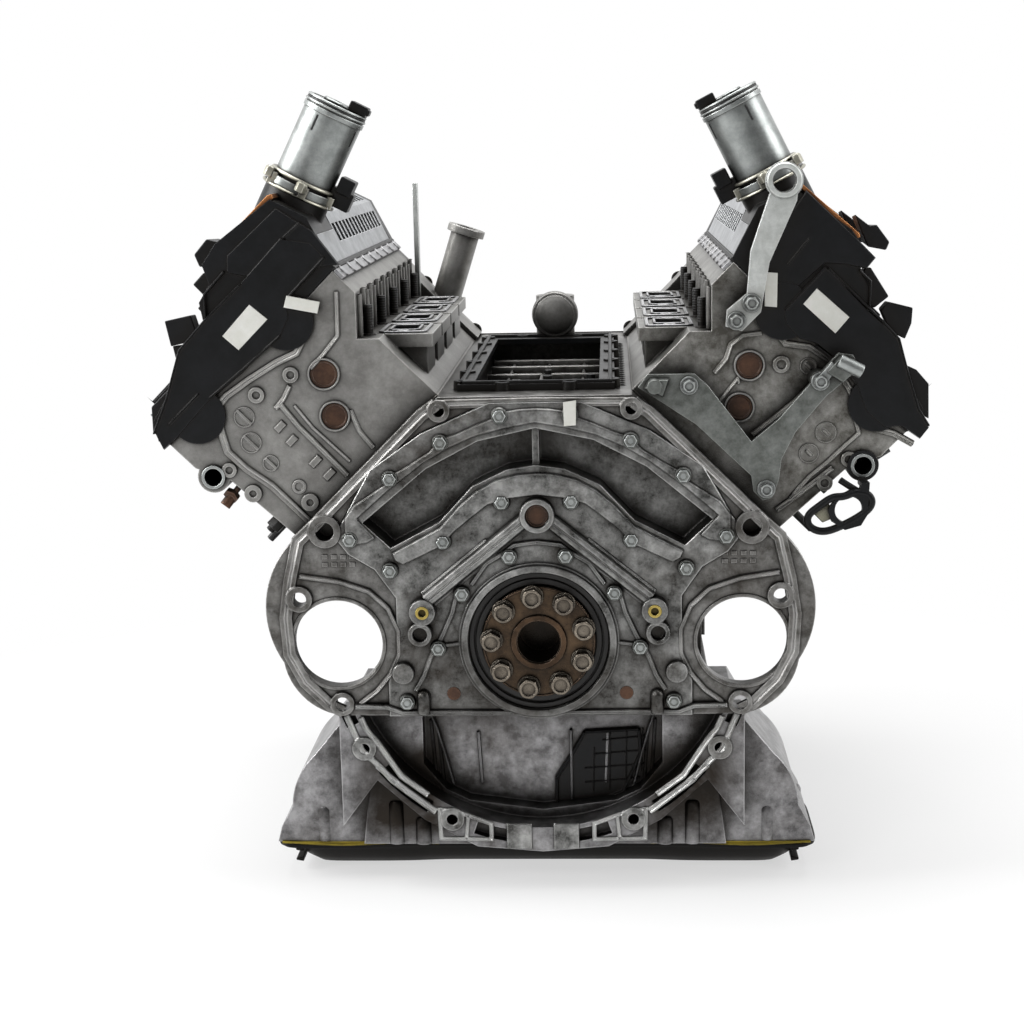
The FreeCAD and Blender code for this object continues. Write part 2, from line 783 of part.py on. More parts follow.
def make_head(side, name):
    start = head_start(side)
    casting = Casting()
    top = s.head_top
    inner = -s.deck_inner - 15
    outer = s.deck_outer + 18
    level = s.intake_level * math.sqrt(2)
    upright = s.intake_wall * math.sqrt(2)
    casting.pad([banked(side, [
        (-s.deck_inner, head_base), (s.deck_outer, head_base), (s.deck_outer + 4, 296),
        (outer, 326), (outer, top), (inner, top), (inner, upright - inner),
        ((upright - level) / 2, (upright + level) / 2), (-s.deck_inner, level - s.deck_inner),
    ])], start, s.head_length)
    # Air gallery along the outer wall
    rail = (s.rail_across * side, s.rail_up)
    casting.pad([], start, s.head_length - 30, circles=[rail + (s.rail_radius + 4,)])
    # Intake flanges lie level above the valley, one to a cylinder
    tilt = -side * BANK_TILT
    for number in range(4):
        middle = cylinder_place(side, number)
        low = (92, middle - 44) if side > 0 else (-160, middle - 44)
        duct = (98, middle - 34) if side > 0 else (-158, middle - 34)
        casting.tilted_pad([rectangle(*low, 68, 88)], s.intake_level - 12, 12, tilt)
        casting.tilted_pad([rectangle(*duct, 60, 68)], s.intake_level - 42, 32, tilt)
        port = 106 if side > 0 else -134
        casting.pocket([rectangle(port, middle - 22, 28, 44)], s.intake_level, 26, "z", tilt=tilt)
        # Exhaust outlets on the outer wall
        face = (s.deck_outer + 8) * side
        casting.side_pad([rectangle(middle - 42, 226, 84, 46)], face - 9 * side, 9, side)
        casting.side_pocket([], [(middle - 17, 249, 14), (middle + 17, 249, 14)],
                            face, 40, side)
    casting.pocket([banked(side, head_cavity())], start + s.head_wall,
                   s.head_length - s.head_wall * 2)
    for place in main_bearings[1:4]:
        middle = place + s.bank_offset * (side * 0.5)
        casting.pad([banked(side, head_cavity(1.0))], middle - 6, 12)
    cams = [(side * -s.cam_inlet, top, s.cam_radius + gap),
            (side * s.cam_exhaust, top, s.cam_radius + gap)]
    casting.pocket([], start + 4, s.head_length, circles=cams)
    casting.pocket([], start, s.head_length, circles=[rail + (s.rail_radius,)])
    tools = []
    for tilt, across, place in valve_frames(side):
        throat = cylinder(17.6, 20, 0, 0, -10, "z")
        stem = cylinder(3.4, 60, 0, 0, 8, "z")
        tools.append(along_valve(group(throat, stem), tilt, across, place))
    head = cut(casting.body, group(*tools))
    keep("%s_cylinder_head" % name, to_bank(head, side))

    sheet_metal = box(-s.deck_inner if side > 0 else -s.deck_outer, start, s.deck_height,
                      s.deck_inner + s.deck_outer, s.head_length, s.gasket_thickness)
    bores = [cylinder(s.cylinder_bore / 2 + 0.5, s.gasket_thickness, 0,
                      cylinder_place(side, number), s.deck_height, "z") for number in range(4)]
    gaskets.append(to_bank(cut(sheet_metal, *bores), side))


def make_valve_gear(side):
    valves = []
    springs = []
    rockers = []
    length = s.valve_length
    spring_top = length - 16
    for tilt, across, place in valve_frames(side):
        valve = fuse(cone(17, 3, 8, 0, 0, 0, "z"), cylinder(3, length, 0, 0, 0, "z"),
                     cylinder(s.spring_radius, 4, 0, 0, spring_top, "z"))
        valves.append(along_valve(valve, tilt, across, place))
        spring = tube(s.spring_radius, s.spring_radius - 3, spring_top - 46, 0, 0, 46, "z")
        springs.append(along_valve(spring, tilt, across, place))
        # The arm reaches from the valve's tip towards the outside of the valve
        low_x = -9 if across > 0 else -21
        arm = box(low_x, -5, length, 30, 10, 6)
        rockers.append(along_valve(group(arm), tilt, across, place))
    for kind, pieces in (("valves", valves), ("springs", springs), ("rockers", rockers)):
        gear[kind].append(to_bank(group(*pieces), side))


def chain_place(side):
    """Where a bank's timing chain runs: the right bank's row stands further forward."""
    return s.block_length + s.chain_first + (s.chain_row if side > 0 else as_size(0))


def sprocket(radius, teeth):
    """Outline of a toothed wheel whose teeth reach a little past the pitch circle."""
    points = []
    for number in range(teeth):
        for step, reach in ((0.0, -2.6), (0.5, 2.0)):
            angle = math.radians(360.0 * (number + step) / teeth)
            points.append(((radius + reach) * math.cos(angle), (radius + reach) * math.sin(angle)))
    return points


def cam_profile():
    """Section of a cam lobe with its nose upwards."""
    base = s.lobe_base
    flank = base * 0.98
    return [(flank, 3), (7, s.lobe_nose), (-7, s.lobe_nose), (-flank, 3), (-flank * 0.7, -11.5),
            (0, -base), (flank * 0.7, -11.5)]


def make_camshaft(side, name, kind, across):
    start = head_start(side) + s.head_wall + 2
    x = side * across
    chain = chain_place(side)
    radius = s.cam_radius
    pieces = [cylinder(radius - 2, chain - start, x, start, s.head_top)]
    caps = []
    middles = [place + s.bank_offset * (side * 0.5) for place in main_bearings[1:4]]
    for middle in middles:
        pieces.append(cylinder(radius, 20, x, middle - 10, s.head_top))
        block = box(x - 18, middle - 6, s.head_top, 36, 12, 20)
        caps.append(cut(block, cylinder(radius + gap, 12, x, middle - 6, s.head_top)))
    gear["brackets"].append(to_bank(group(*caps), side))
    pieces.append(cylinder(radius, 14, x, start, s.head_top))
    pieces.append(cylinder(radius, 24, x, head_start(side) + s.head_length - 28, s.head_top))
    for number in range(4):
        lobe_angle = PIN_ANGLES[number] / 2 + (60 if kind == "inlet" else -60)
        for step in (-VALVE_SPREAD, VALVE_SPREAD):
            lobe = prism(cam_profile(), cylinder_place(side, number) + step - 6, 12)
            lobe.Placement.Rotation = FreeCAD.Rotation(AXIS_LINES["y"], lobe_angle)
            locate(lobe, x, 0, s.head_top)
            pieces.append(lobe)
    keep("%s_%s_camshaft" % (name, kind), to_bank(fuse(*pieces), side))

    wheel = prism(sprocket(s.cam_sprocket, 38), chain - 2, 4)
    locate(wheel, x, 0, s.head_top)
    hub = cylinder(s.cam_sprocket - 7, 12, x, chain + 2, s.head_top)
    way = cylinder(radius - 2, 2, x, chain - 2, s.head_top)
    keep("%s_%s_phaser" % (name, kind), to_bank(cut(fuse(wheel, hub), way), side))


def make_eccentric(side, name):
    """Shaft that sets the inlet valves' lift, with the worm wheel that its motor turns."""
    start = head_start(side) + 30
    x = -s.eccentric_in * side
    up = s.eccentric_up
    pieces = [cylinder(9, s.head_length - 60, x, start, up)]
    for number in range(4):
        pieces.append(cylinder(12, 30, x + 2.5 * side, cylinder_place(side, number) - 15, up))
    pieces.append(cylinder(26, 12, x, head_start(side) + s.motor_place - 6, up))
    keep("%s_eccentric_shaft" % name, to_bank(fuse(*pieces), side))
    brackets = []
    for place in main_bearings[1:4]:
        middle = place + s.bank_offset * (side * 0.5)
        body = box(x - (14 if side > 0 else 11), middle - 5, s.head_top, 25, 10,
                   up - s.head_top + 14)
        brackets.append(cut(body, cylinder(9 + gap, 10, x, middle - 5, up)))
    gear["brackets"].append(to_bank(group(*brackets), side))


# Section of the head cover, as outwards and up from the head's top
COVER_OUTLINE = [
    (-113, 1), (-128, 48), (-117, 81), (-56, 90), (-34, 86), (-26, 70), (-8, 66),
    (4, 49), (38, 43), (72, 32), (100, 25), (109, 10), (104, 0),
]


def make_covers(side, name):
    """Black moulded cover over the camshafts, with a cast panel let into its inner slope."""
    start = head_start(side)
    top = s.head_top
    wall = s.cover_wall
    length = s.head_length
    shell = [(x, top + rise) for x, rise in COVER_OUTLINE]
    inside = [(-113 + wall, top - 1), (-127 + wall * 1.2, top + 48), (-115 + wall, top + 81 - wall),
              (-57, top + 90 - wall), (-37, top + 84 - wall), (-28, top + 66 - wall),
              (-11, top + 64 - wall), (1, top + 47 - wall), (38 - wall, top + 42 - wall),
              (72 - wall, top + 31 - wall), (97 - wall, top + 24 - wall), (104 - wall, top - 1)]
    casting = Casting()
    casting.pad([banked(side, shell)], start, length)
    casting.pocket([banked(side, inside)], start + wall, length - wall * 2)
    panel = s.motor_place + 40
    panel_length = s.head_length - panel - 20
    casting.pocket([banked(side, [(-135, top + 4), (-108, top + 4), (-121, top + 47),
                                  (-111, top + 78), (-135, top + 78)])],
                   start + panel, panel_length)
    # The panel's lower strip runs on under the motor to the rear end
    casting.pocket([banked(side, [(-135, top + 4), (-108, top + 4), (-116.4, top + 32),
                                  (-135, top + 32)])], start + 6, panel)
    # Seats of the ignition coils, in a row over the spark plugs
    casting.pad([], top + 42.6, 9.4, "z", circles=[
        (side * 20, cylinder_place(side, number), 14) for number in range(4)])
    # Round ends that close the head behind each camshaft, and the ways to the chain in front
    cams = [side * -s.cam_inlet, side * s.cam_exhaust]
    casting.pad([], start - 3, 3, circles=[(x, top, 25) for x in cams])
    casting.pocket([], start + length - wall - 1, wall + 1,
                   circles=[(x, top, s.cam_radius + gap) for x in cams])
    neck = cylinder(s.motor_radius + 3, 30, 0, 0, 0, "z")
    place_motor(neck, side, -24)
    hollow = cylinder(s.motor_radius - 6, 50, 0, 0, 0, "z")
    place_motor(hollow, side, -30)
    cover = cut(fuse(casting.body, cut(neck, inner_block(side, top))), hollow)
    keep("%s_head_cover" % name, to_bank(cover, side))

    slots = []
    rows = 14
    step = (panel_length - 10) / rows
    for number in range(rows):
        for low in (20, 52):
            slots.append(box(-135 if side > 0 else 105, start + panel + 6 + step * number,
                             top + low, 30, step - 7, 17))
    plate = prism(banked(side, [(-113.5, top + 4.4), (-109.6, top + 4.4), (-122.4, top + 47),
                                (-112.6, top + 77.4), (-118.4, top + 77.4), (-128.4, top + 47)]),
                  start + panel + 0.4, panel_length - 0.8)
    strip = prism(banked(side, [(-113.5, top + 4.4), (-109.6, top + 4.4), (-117.8, top + 31.6),
                                (-122.9, top + 31.6)]), start + 6.4, panel)
    panels.append(to_bank(cut(fuse(plate, strip), *slots), side))


def inner_block(side, top):
    """Space inside the cover, which the motor's neck may not fill."""
    return box(-112 if side > 0 else 40, -50, top - 20, 72, 600, 96)


def place_motor(item, side, along):
    """Stands a round piece on a bank's motor axis, a distance along from its seat."""
    lean = -MOTOR_LEAN * side
    item.Placement.Rotation = FreeCAD.Rotation(AXIS_LINES["y"], lean)
    reach = math.sin(math.radians(lean))
    rise = math.cos(math.radians(lean))
    locate(item, side * -126 + as_size(along) * reach, head_start(side) + s.motor_place,
           s.head_top + 71 + as_size(along) * rise)
    return item


MOTOR_LEAN = 72.0


def make_motor(side):
    """Electric motor that turns the eccentric shaft, with its clamp ring and plug."""
    length = s.motor_length
    can = cylinder(s.motor_radius, length, 0, 0, 0, "z")
    ring = cylinder(s.motor_radius + 5, 7, 0, 0, 0, "z")
    cap = cylinder(s.motor_radius + 1.2, 4, 0, 0, 0, "z")
    plug = group(box(-9, 6, 0, 16, 18, 9))
    parts = [place_motor(can, side, 6), place_motor(ring, side, 6),
             place_motor(cap, side, length - 5), place_motor(plug, side, length - 1)]
    shaft = place_motor(cylinder(6, 30, 0, 0, 0, "z"), side, -20)
    return to_bank(fuse(*parts, shaft), side)


def hull_of_circles(circles):
    """Outline of a band stretched round circles given anticlockwise as (across, up, radius)."""
    edges = []
    count = len(circles)
    touches = []
    for index in range(count):
        x_1, z_1, r_1 = circles[index]
        x_2, z_2, r_2 = circles[(index + 1) % count]
        distance = math.hypot(x_2 - x_1, z_2 - z_1)
        heading = math.atan2(z_2 - z_1, x_2 - x_1)
        normal = heading - math.acos((r_1 - r_2) / distance)
        touches.append((x_1 + r_1 * math.cos(normal), z_1 + r_1 * math.sin(normal),
                        x_2 + r_2 * math.cos(normal), z_2 + r_2 * math.sin(normal), normal))
    for index in range(count):
        x_1, z_1, x_2, z_2, normal = touches[index]
        edges.append(Part.LineSegment(FreeCAD.Vector(x_1, 0, z_1),
                                      FreeCAD.Vector(x_2, 0, z_2)).toShape())
        following = touches[(index + 1) % count]
        x, z, radius = circles[(index + 1) % count]
        turned_by = (following[4] - normal) % (2 * math.pi)
        middle = normal + turned_by / 2
        edges.append(Part.Arc(FreeCAD.Vector(x_2, 0, z_2),
                              FreeCAD.Vector(x + radius * math.cos(middle), 0,
                                             z + radius * math.sin(middle)),
                              FreeCAD.Vector(following[0], 0, following[1])).toShape())
    return Part.Wire(edges)


def band(circles, inner, outer, start, length):
    """Endless band between two offsets of the same run round its wheels."""
    faces = []
    for extra in (outer, inner):
        wire = hull_of_circles([(x, z, radius + extra) for x, z, radius in circles])
        faces.append(Part.Face(wire).extrude(FreeCAD.Vector(0, length, 0)))
    solid = faces[0].cut(faces[1])
    solid.translate(FreeCAD.Vector(0, start, 0))
    return solid


def solid_piece(shape):
    item = doc.addObject("Part::Feature", "Formed")
    item.Shape = shape
    return item


def make_chain(side):
    """Roller chain from the crank to a bank's two camshafts: two rows of link plates."""
    place = chain_place(side).value
    wheel = SIZES["cam_sprocket"]
    wheels = [(0.0, 0.0, SIZES["crank_sprocket"])]
    cams = [(SIZES["cam_exhaust"], SIZES["head_top"]), (-SIZES["cam_inlet"], SIZES["head_top"])]
    cams = [(x * side, z) for x, z in cams]
    cams.sort(reverse=True)
    wheels += [(x, z, wheel) for x, z in cams]
    height = SIZES["chain_height"] / 2
    half = SIZES["chain_width"] / 2
    rows = [band(wheels, -height, height, place - half, 1.5),
            band(wheels, -height, height, place + half - 1.5, 1.5)]
    # Rollers fill the free runs between the wheels
    rollers = band(wheels, -1.0, 1.0, place - half + 1, half * 2 - 2)
    for x, z, radius in wheels:
        rollers = rollers.cut(Part.makeCylinder(radius + 26, 20, FreeCAD.Vector(x, place - 10, z),
                                                FreeCAD.Vector(0, 1, 0)))
    shape = rows[0].fuse([rows[1], rollers])
    return to_bank(solid_piece(shape), side)


def pump_chain():
    """Chain from the crank straight down to the oil pump."""
    pinion = SIZES["crank_sprocket"]
    place = SIZES["block_length"] + PUMP_ROW
    wheels = [(0.0, -SIZES["pump_drop"], pinion), (0.0, 0.0, pinion)]
    height = SIZES["chain_height"] / 2
    half = SIZES["chain_width"] / 2
    rows = [band(wheels, -height, height, start, 1.5)
            for start in (place - half, place + half - 1.5)]
    bars = band(wheels, -1.0, 1.0, place - half + 1, half * 2 - 2)
    for x, z, radius in wheels:
        bars = bars.cut(Part.makeCylinder(radius + 12, 20, FreeCAD.Vector(x, place - 10, z),
                                          FreeCAD.Vector(0, 1, 0)))
    return solid_piece(rows[0].fuse([rows[1], bars]))


PUMP_ROW = 6.0


def make_timing():
    keep("timing_chains", group(*[make_chain(side) for side, _ in SIDES], pump_chain()))
    rows = [chain_place(side) for side in (-1, 1)] + [s.block_length + PUMP_ROW]
    wheels = [prism(sprocket(s.crank_sprocket, 19), place - 2, 4) for place in rows]
    sleeve = cylinder(s.nose_radius + 1.2, s.chain_first + s.chain_row + 3, 0,
                      s.block_length + 3, 0)
    keep("crank_sprockets", cut(fuse(sleeve, *wheels),
                                cylinder(s.nose_radius, 60, 0, s.block_length, 0)))
    guides = []
    for side, _ in SIDES:
        place = chain_place(side)
        guides.append(guide_bar(side, place, SIZES["cam_exhaust"], 1, 150))
        guides.append(guide_bar(side, place, -SIZES["cam_inlet"], -1, 200))
    keep("chain_guides", group(*guides))


def guide_bar(side, place, across, outward, reach):
    """Plastic bar along the outside of the free run from the crank to one camshaft."""
    pinion = SIZES["crank_sprocket"]
    distance = math.hypot(across, SIZES["head_top"])
    spread = math.asin((SIZES["cam_sprocket"] - pinion) / distance)
    lean = math.atan2(across, SIZES["head_top"]) + outward * spread
    near = outward * (pinion + SIZES["chain_height"] / 2 + 0.5)
    far = near + outward * 8
    low, high = min(near, far), max(near, far)
    bar = prism(banked(side, [(low, 45), (high, 45), (high, reach), (low, reach)]),
                place - 5, 10)
    bar.Placement.Rotation = FreeCAD.Rotation(AXIS_LINES["y"], math.degrees(lean) * side)
    return to_bank(group(bar), side)


def chest_outline(wall=0.0, deck=0.0):
    """Half profile of the timing chest, stepped in by its wall and open at the decks."""
    drop = deck * ROOT_HALF
    return mirrored([
        (0, deck_inner_z - wall), (deck_inner_x - wall + drop, deck_inner_z - wall + drop),
        (deck_outer_x - wall + drop, deck_outer_z - wall * 0.2 + drop),
        (deck_outer_x - 63 - wall, deck_outer_z - 63), (s.case_half - wall, 14),
        (s.case_half - wall, -s.rail_depth + wall), (0, -s.rail_depth + wall),
    ])


def wheel_chest(room):
    """Section of the upper chest round a bank's two cam wheels."""
    inlet = -s.cam_inlet
    exhaust = s.cam_exhaust
    top = s.head_top
    edge = s.wheel_room - room
    return [(-s.deck_inner + edge, s.deck_height), (s.deck_outer - edge, s.deck_height),
            (exhaust + room, top, room), (exhaust, top + room), (inlet, top + room, room),
            (inlet - room, top), (-s.deck_inner + edge, 290)]


def upper_cover(side):
    """Cast chest that joins a head's front to the timing cover, closed on all sides but below."""
    head_end = head_start(side) + s.head_length
    length = s.block_length + s.chest_depth - head_end
    wall = s.chest_wall
    casting = Casting()
    casting.pad([banked(side, wheel_chest(s.wheel_room + wall))], head_end, length)
    casting.pocket([banked(side, wheel_chest(s.wheel_room))], head_end + wall, length - wall * 2)
    cams = [(x * side, s.head_top) for x in (-s.cam_inlet, s.cam_exhaust)]
    casting.pocket([], head_end, wall, circles=[
        place + (s.cam_radius + gap,) for place in cams])
    # Round lids in front of the cam wheels, and a rib between them down to the deck
    face = head_end + length
    casting.pad([], face - 1, 5, circles=[place + (32,) for place in cams])
    casting.pad([], face + 3, 6, circles=[place + (13,) for place in cams])
    casting.pad([banked(side, [(-3, 222), (9, 222), (9, 348), (-3, 348)])], face - 1, 4)
    if side > 0:
        return to_bank(casting.body, side)
    # Oil filler neck, which leans over the valley
    lean = 18 + BANK_TILT
    foot = (92.6, head_end + length / 2, 265)
    pieces = []
    for radius, low, height in ((16, 0, 95), (21, 87, 8), (12, 20, 76)):
        pieces.append(leaning(cylinder(radius, height, 0, 0, 0, "z"), foot, low, lean))
    return to_bank(cut(fuse(casting.body, *pieces[:2]), pieces[2]), side)


def leaning(item, foot, along, degrees):
    """Stands a round piece on a line that leans across the engine from a foot."""
    item.Placement.Rotation = FreeCAD.Rotation(AXIS_LINES["y"], degrees)
    reach = math.sin(math.radians(degrees)) * along
    rise = math.cos(math.radians(degrees)) * along
    locate(item, foot[0] + reach, foot[1], foot[2] + rise)
    return item


FRONT_SCREWS = ((124, -58), (124, 4), (150, 70), (122, 150), (78, 200), (30, 204), (52, -58))


def make_front_covers():
    wall = 6.0
    start = s.block_length
    depth = s.chest_depth
    casting = Casting()
    face = start + depth
    casting.pad([chest_outline()], start, depth)
    casting.pocket([chest_outline(wall, 8)], start, depth - wall)
    # Seat of the seal, ribs that reach out from it, and the bosses of the screws
    casting.pad([], face - 1, 5, circles=[(0, 0, s.nose_radius + 20)])
    casting.pad([[(-5, 34), (5, 34), (5, 80), (-5, 80)]], face - 1, 4)
    for side, _ in SIDES:
        casting.pad([[(side * 26, -20), (side * 30, -28), (side * 118, -56), (side * 118, -48)],
                     ], face - 1, 4)
        casting.pad([[(side * 33, 10), (side * 36, 2), (side * 134, 28), (side * 134, 36)],
                     ], face - 1, 4)
    screws = [(side * x, z) for side in (1, -1) for x, z in FRONT_SCREWS]
    casting.pad([], face - 1, 4, circles=[place + (8,) for place in screws])
    casting.pocket([], face - 3, 6, circles=[place + (3.4,) for place in screws])
    casting.pocket([], start, depth + 4, circles=[(0, 0, s.nose_radius + 10)])
    casting.pocket([rectangle(-60, -s.rail_depth, 120, wall + 1)], start, depth - wall)
    # Seat of the water pump, cast on the front
    casting.pad([], face - 1, 16, circles=[(0, s.pump_height, s.pump_radius + 2)])
    keep("timing_cover", casting.body)
    for x, z in screws:
        case_screws.append(fuse(hexagon(s.hex_small, 6, x, face + 3, z),
                                cylinder(3, 5, x, face - 2, z)))
    keep("front_seal", tube(s.nose_radius + 10, s.nose_radius + gap, 9, 0,
                            start + depth - 10, 0))
    keep("upper_timing_covers", group(*[upper_cover(side) for side, _ in SIDES]))

    damper = s.block_length + depth + 8
    radius = s.damper_radius
    keep("vibration_damper", turned([
        (s.nose_radius, damper), (s.nose_radius, damper + 34), (34, damper + 34),
        (34, damper + 26), (52, damper + 20), (radius - 14, damper + 20),
        (radius - 14, damper + s.damper_width), (radius, damper + s.damper_width),
        (radius, damper + 4), (34, damper + 4), (34, damper),
    ]))
    pump = s.block_length + depth + 15
    keep("water_pump", fuse(cylinder(s.pump_radius, 12, 0, pump, s.pump_height),
                            cylinder(22, 37.7, 0, pump + 12, s.pump_height)))
    pulley = pump + 50
    keep("water_pump_pulley", turned([
        (0, pulley), (0, pulley + 5), (40, pulley + 5), (40, pulley + 24), (52, pulley + 24),
        (52, pulley - 2), (40, pulley - 2), (40, pulley),
    ], 0, 0, s.pump_height))
    place = s.block_length - 22
    neck = cylinder(21, 50, 6, place, deck_inner_z, "z")
    barrel = cylinder(21, 44, 6, place - 18, deck_inner_z + 30)
    rim = cylinder(25, 6, 6, place - 18, deck_inner_z + 30)
    way = cylinder(16, 30, 6, place - 18, deck_inner_z + 30)
    keep("coolant_neck", cut(fuse(neck, barrel, rim), way))


def sump_half(low):
    """Half profile of the sump across the engine's rear, down to a level."""
    return [(0, -s.rail_depth), (s.case_half + 36, -s.rail_depth), (s.case_half + 44, -84),
            (212, -118, -70), (s.pan_wide - 15, -168), (s.pan_wide - 4, -188),
            (s.pan_wide, low), (0, low)]


def ring_sector(first, last, inner, outer):
    """Part of a ring under the crank, between two angles from straight down."""
    steps = 4
    angles = [math.radians(first + (last - first) * step / steps) for step in range(steps + 1)]
    low = [(outer * math.sin(angle), -outer * math.cos(angle)) for angle in angles]
    high = [(inner * math.sin(angle), -inner * math.cos(angle)) for angle in angles]
    return low + high[::-1]


def make_sump():
    floor = -s.sump_floor
    length = s.block_length + s.chest_depth
    casting = Casting()
    casting.pad([mirrored([(0, -s.rail_depth), (s.case_half, -s.rail_depth),
                           (s.pan_narrow - 8, -140), (s.pan_narrow, floor), (0, floor)])],
                24, length - 24)
    casting.pad([mirrored(sump_half(floor))], 30, 120)
    casting.pad([mirrored([(0, -s.rail_depth), (s.case_half + 16, -s.rail_depth),
                           (s.case_half + 16, -78), (0, -78)])], 24, length - 76)
    for place in (197, 247, 300, 351):
        casting.pad([mirrored([(0, -s.rail_depth), (s.case_half + 8, -s.rail_depth),
                               (s.pan_narrow, -140), (s.pan_narrow + 8, floor), (0, floor)])],
                    place, 6)
    casting.pocket([], -s.rail_depth, 8, "z", circles=flange_screws(3.4))
    plate = s.case_half + 38
    casting.pad([mirrored([
        (0, -s.rail_depth), (plate + 5, -s.rail_depth), (plate + 5, -176), (150, -132),
        (108, -170), (60, -s.bell_outer + 5), (0, -s.bell_outer)])], 0, 42)
    ring = s.bell_inner
    # Room for the flywheel inside the bell, and the flat wall set deeper behind it
    casting.pocket([mirrored([(0, -s.rail_depth), (163, -s.rail_depth, -ring), (0, -ring)])],
                   0, 26)
    # Pockets between the screw bosses of the ring
    for first, last in ((33, 50), (65, 78), (-50, -33), (-78, -65), (-19, -9), (9, 19)):
        casting.pocket([ring_sector(first, last, ring + 4, s.bell_outer - 7)], 0, 9)
    casting.pocket([mirrored([(0, -78), (110, -78), (110, -125), (90, -150), (68, -161),
                              (0, -170)])], 20, 24)
    # Hollow inside, open to the crankcase above and the pan below
    casting.pocket([rectangle(-s.case_half + 8, 60, s.case_half * 2 - 16, length - 70)],
                   -s.rail_depth, s.sump_floor - s.rail_depth, "z")
    casting.pocket([], 0, 26, circles=[
        (side * s.bell_bolt_circle * math.sin(math.radians(angle)),
         -s.bell_bolt_circle * math.cos(math.radians(angle)), 5.0)
        for side in (1, -1) for angle in (57.8, 26.0)])
    keep("upper_sump", casting.body)
    for x, y, radius in flange_screws(3.0):
        case_screws.append(fuse(hexagon(s.hex_small, 6, x, y, -s.rail_depth - 14, "z"),
                                cylinder(radius, 15, x, y, -s.rail_depth - 8, "z")))

    keep("sump_gasket", cut(prism(pan_plan(0), floor - s.sump_gasket, s.sump_gasket, "z"),
                            prism(rectangle(-s.case_half + 8, 60, s.case_half * 2 - 16,
                                            length - 70), floor - 5, 10, "z")))
    low = floor - s.sump_gasket
    pan = fuse(prism(pan_plan(3), low - 4, 4, "z"),
               prism(pan_plan(-14), low - s.pan_depth, s.pan_depth - 3, "z"))
    hollow = prism(pan_plan(-24), low - s.pan_depth + 3, s.pan_depth + 5, "z")
    keep("oil_pan", cut(pan, hollow))
    grille = prism([(55, -100), (104, -99), (104, -122), (86, -148), (66, -157), (28, -163),
                    (28, -140)], 40, 4)
    windows = [box(28 + 13 * column, 39, -163 + 15 * row, 9, 6, 11)
               for column in range(6) for row in range(5)
               if 44 < 28 + 13 * column + 0.5 * 15 * row < 88]
    keep("sump_grille", cut(grille, *windows))


def pan_plan(extra):
    """Plan of the pan's rim: wide at the flywheel end and narrower in front."""
    wide = s.pan_wide + extra
    slim = s.pan_narrow + extra
    front = s.block_length + s.chest_depth + extra
    return mirrored([
        (0, front), (slim, front), (slim, 190), (wide - 20, 150), (wide, 136 + extra),
        (wide, 44 - extra), (wide - 14, 30 - extra), (slim, 30 - extra), (slim - 40, 34 - extra),
        (0, 34 - extra)])


def make_oil_pump():
    start = s.block_length - 60
    drop = -s.pump_drop
    body = cut(cylinder(34, 50, 0, start, drop), cylinder(8.4, 60, 0, start, drop))
    arm = box(-14, start + 28, drop + 30, 28, 18, -drop - s.rail_depth - 22)
    pickup = cylinder(12, 40, 0, start - 120, drop - 20)
    pipe = cylinder(8, 90, 0, start - 88, drop - 20)
    keep("oil_pump", fuse(body, arm, pipe, pickup))
    wheel = prism(sprocket(s.crank_sprocket, 19), s.block_length + PUMP_ROW - 2, 4)
    locate(wheel, 0, 0, drop)
    keep("oil_pump_shaft", fuse(cylinder(8, 74, 0, start + 4, drop), wheel))


def make_valley():
    half = s.valley_half - 2
    start = 44
    length = s.block_length - 96
    keep("valley_frame", cut(
        box(-half - 8, start - 8, deck_inner_z, half * 2 + 16, length + 16, 6),
        box(-half + 6, start + 8, deck_inner_z, half * 2 - 12, length - 16, 6)))


def make_trims():
    rails = []
    studs = []
    for side, _ in SIDES:
        start = head_start(side)
        rail = tube(s.rail_radius, s.rail_radius - 2.5, s.head_length - 30, side * s.rail_across,
                    start - 4, s.rail_up)
        rails.append(to_bank(rail, side))
        for number in range(5):
            place = main_bearings[number] + s.bank_offset * (side * 0.5)
            studs.append(cylinder(4, 27, side * 148.6, place, s.intake_level, "z"))
        # Exhaust studs, two at each outlet flange
        for number in range(4):
            middle = cylinder_place(side, number)
            for along, level in ((-36, 234), (36, 264)):
                wall = s.deck_outer + 8
                stud = cylinder(3.5, 24, wall if side > 0 else -wall - 24,
                                middle + along, level, "x")
                studs.append(to_bank(group(stud), side))
    keep("air_rails", group(*rails))
    keep("manifold_studs", group(*studs))


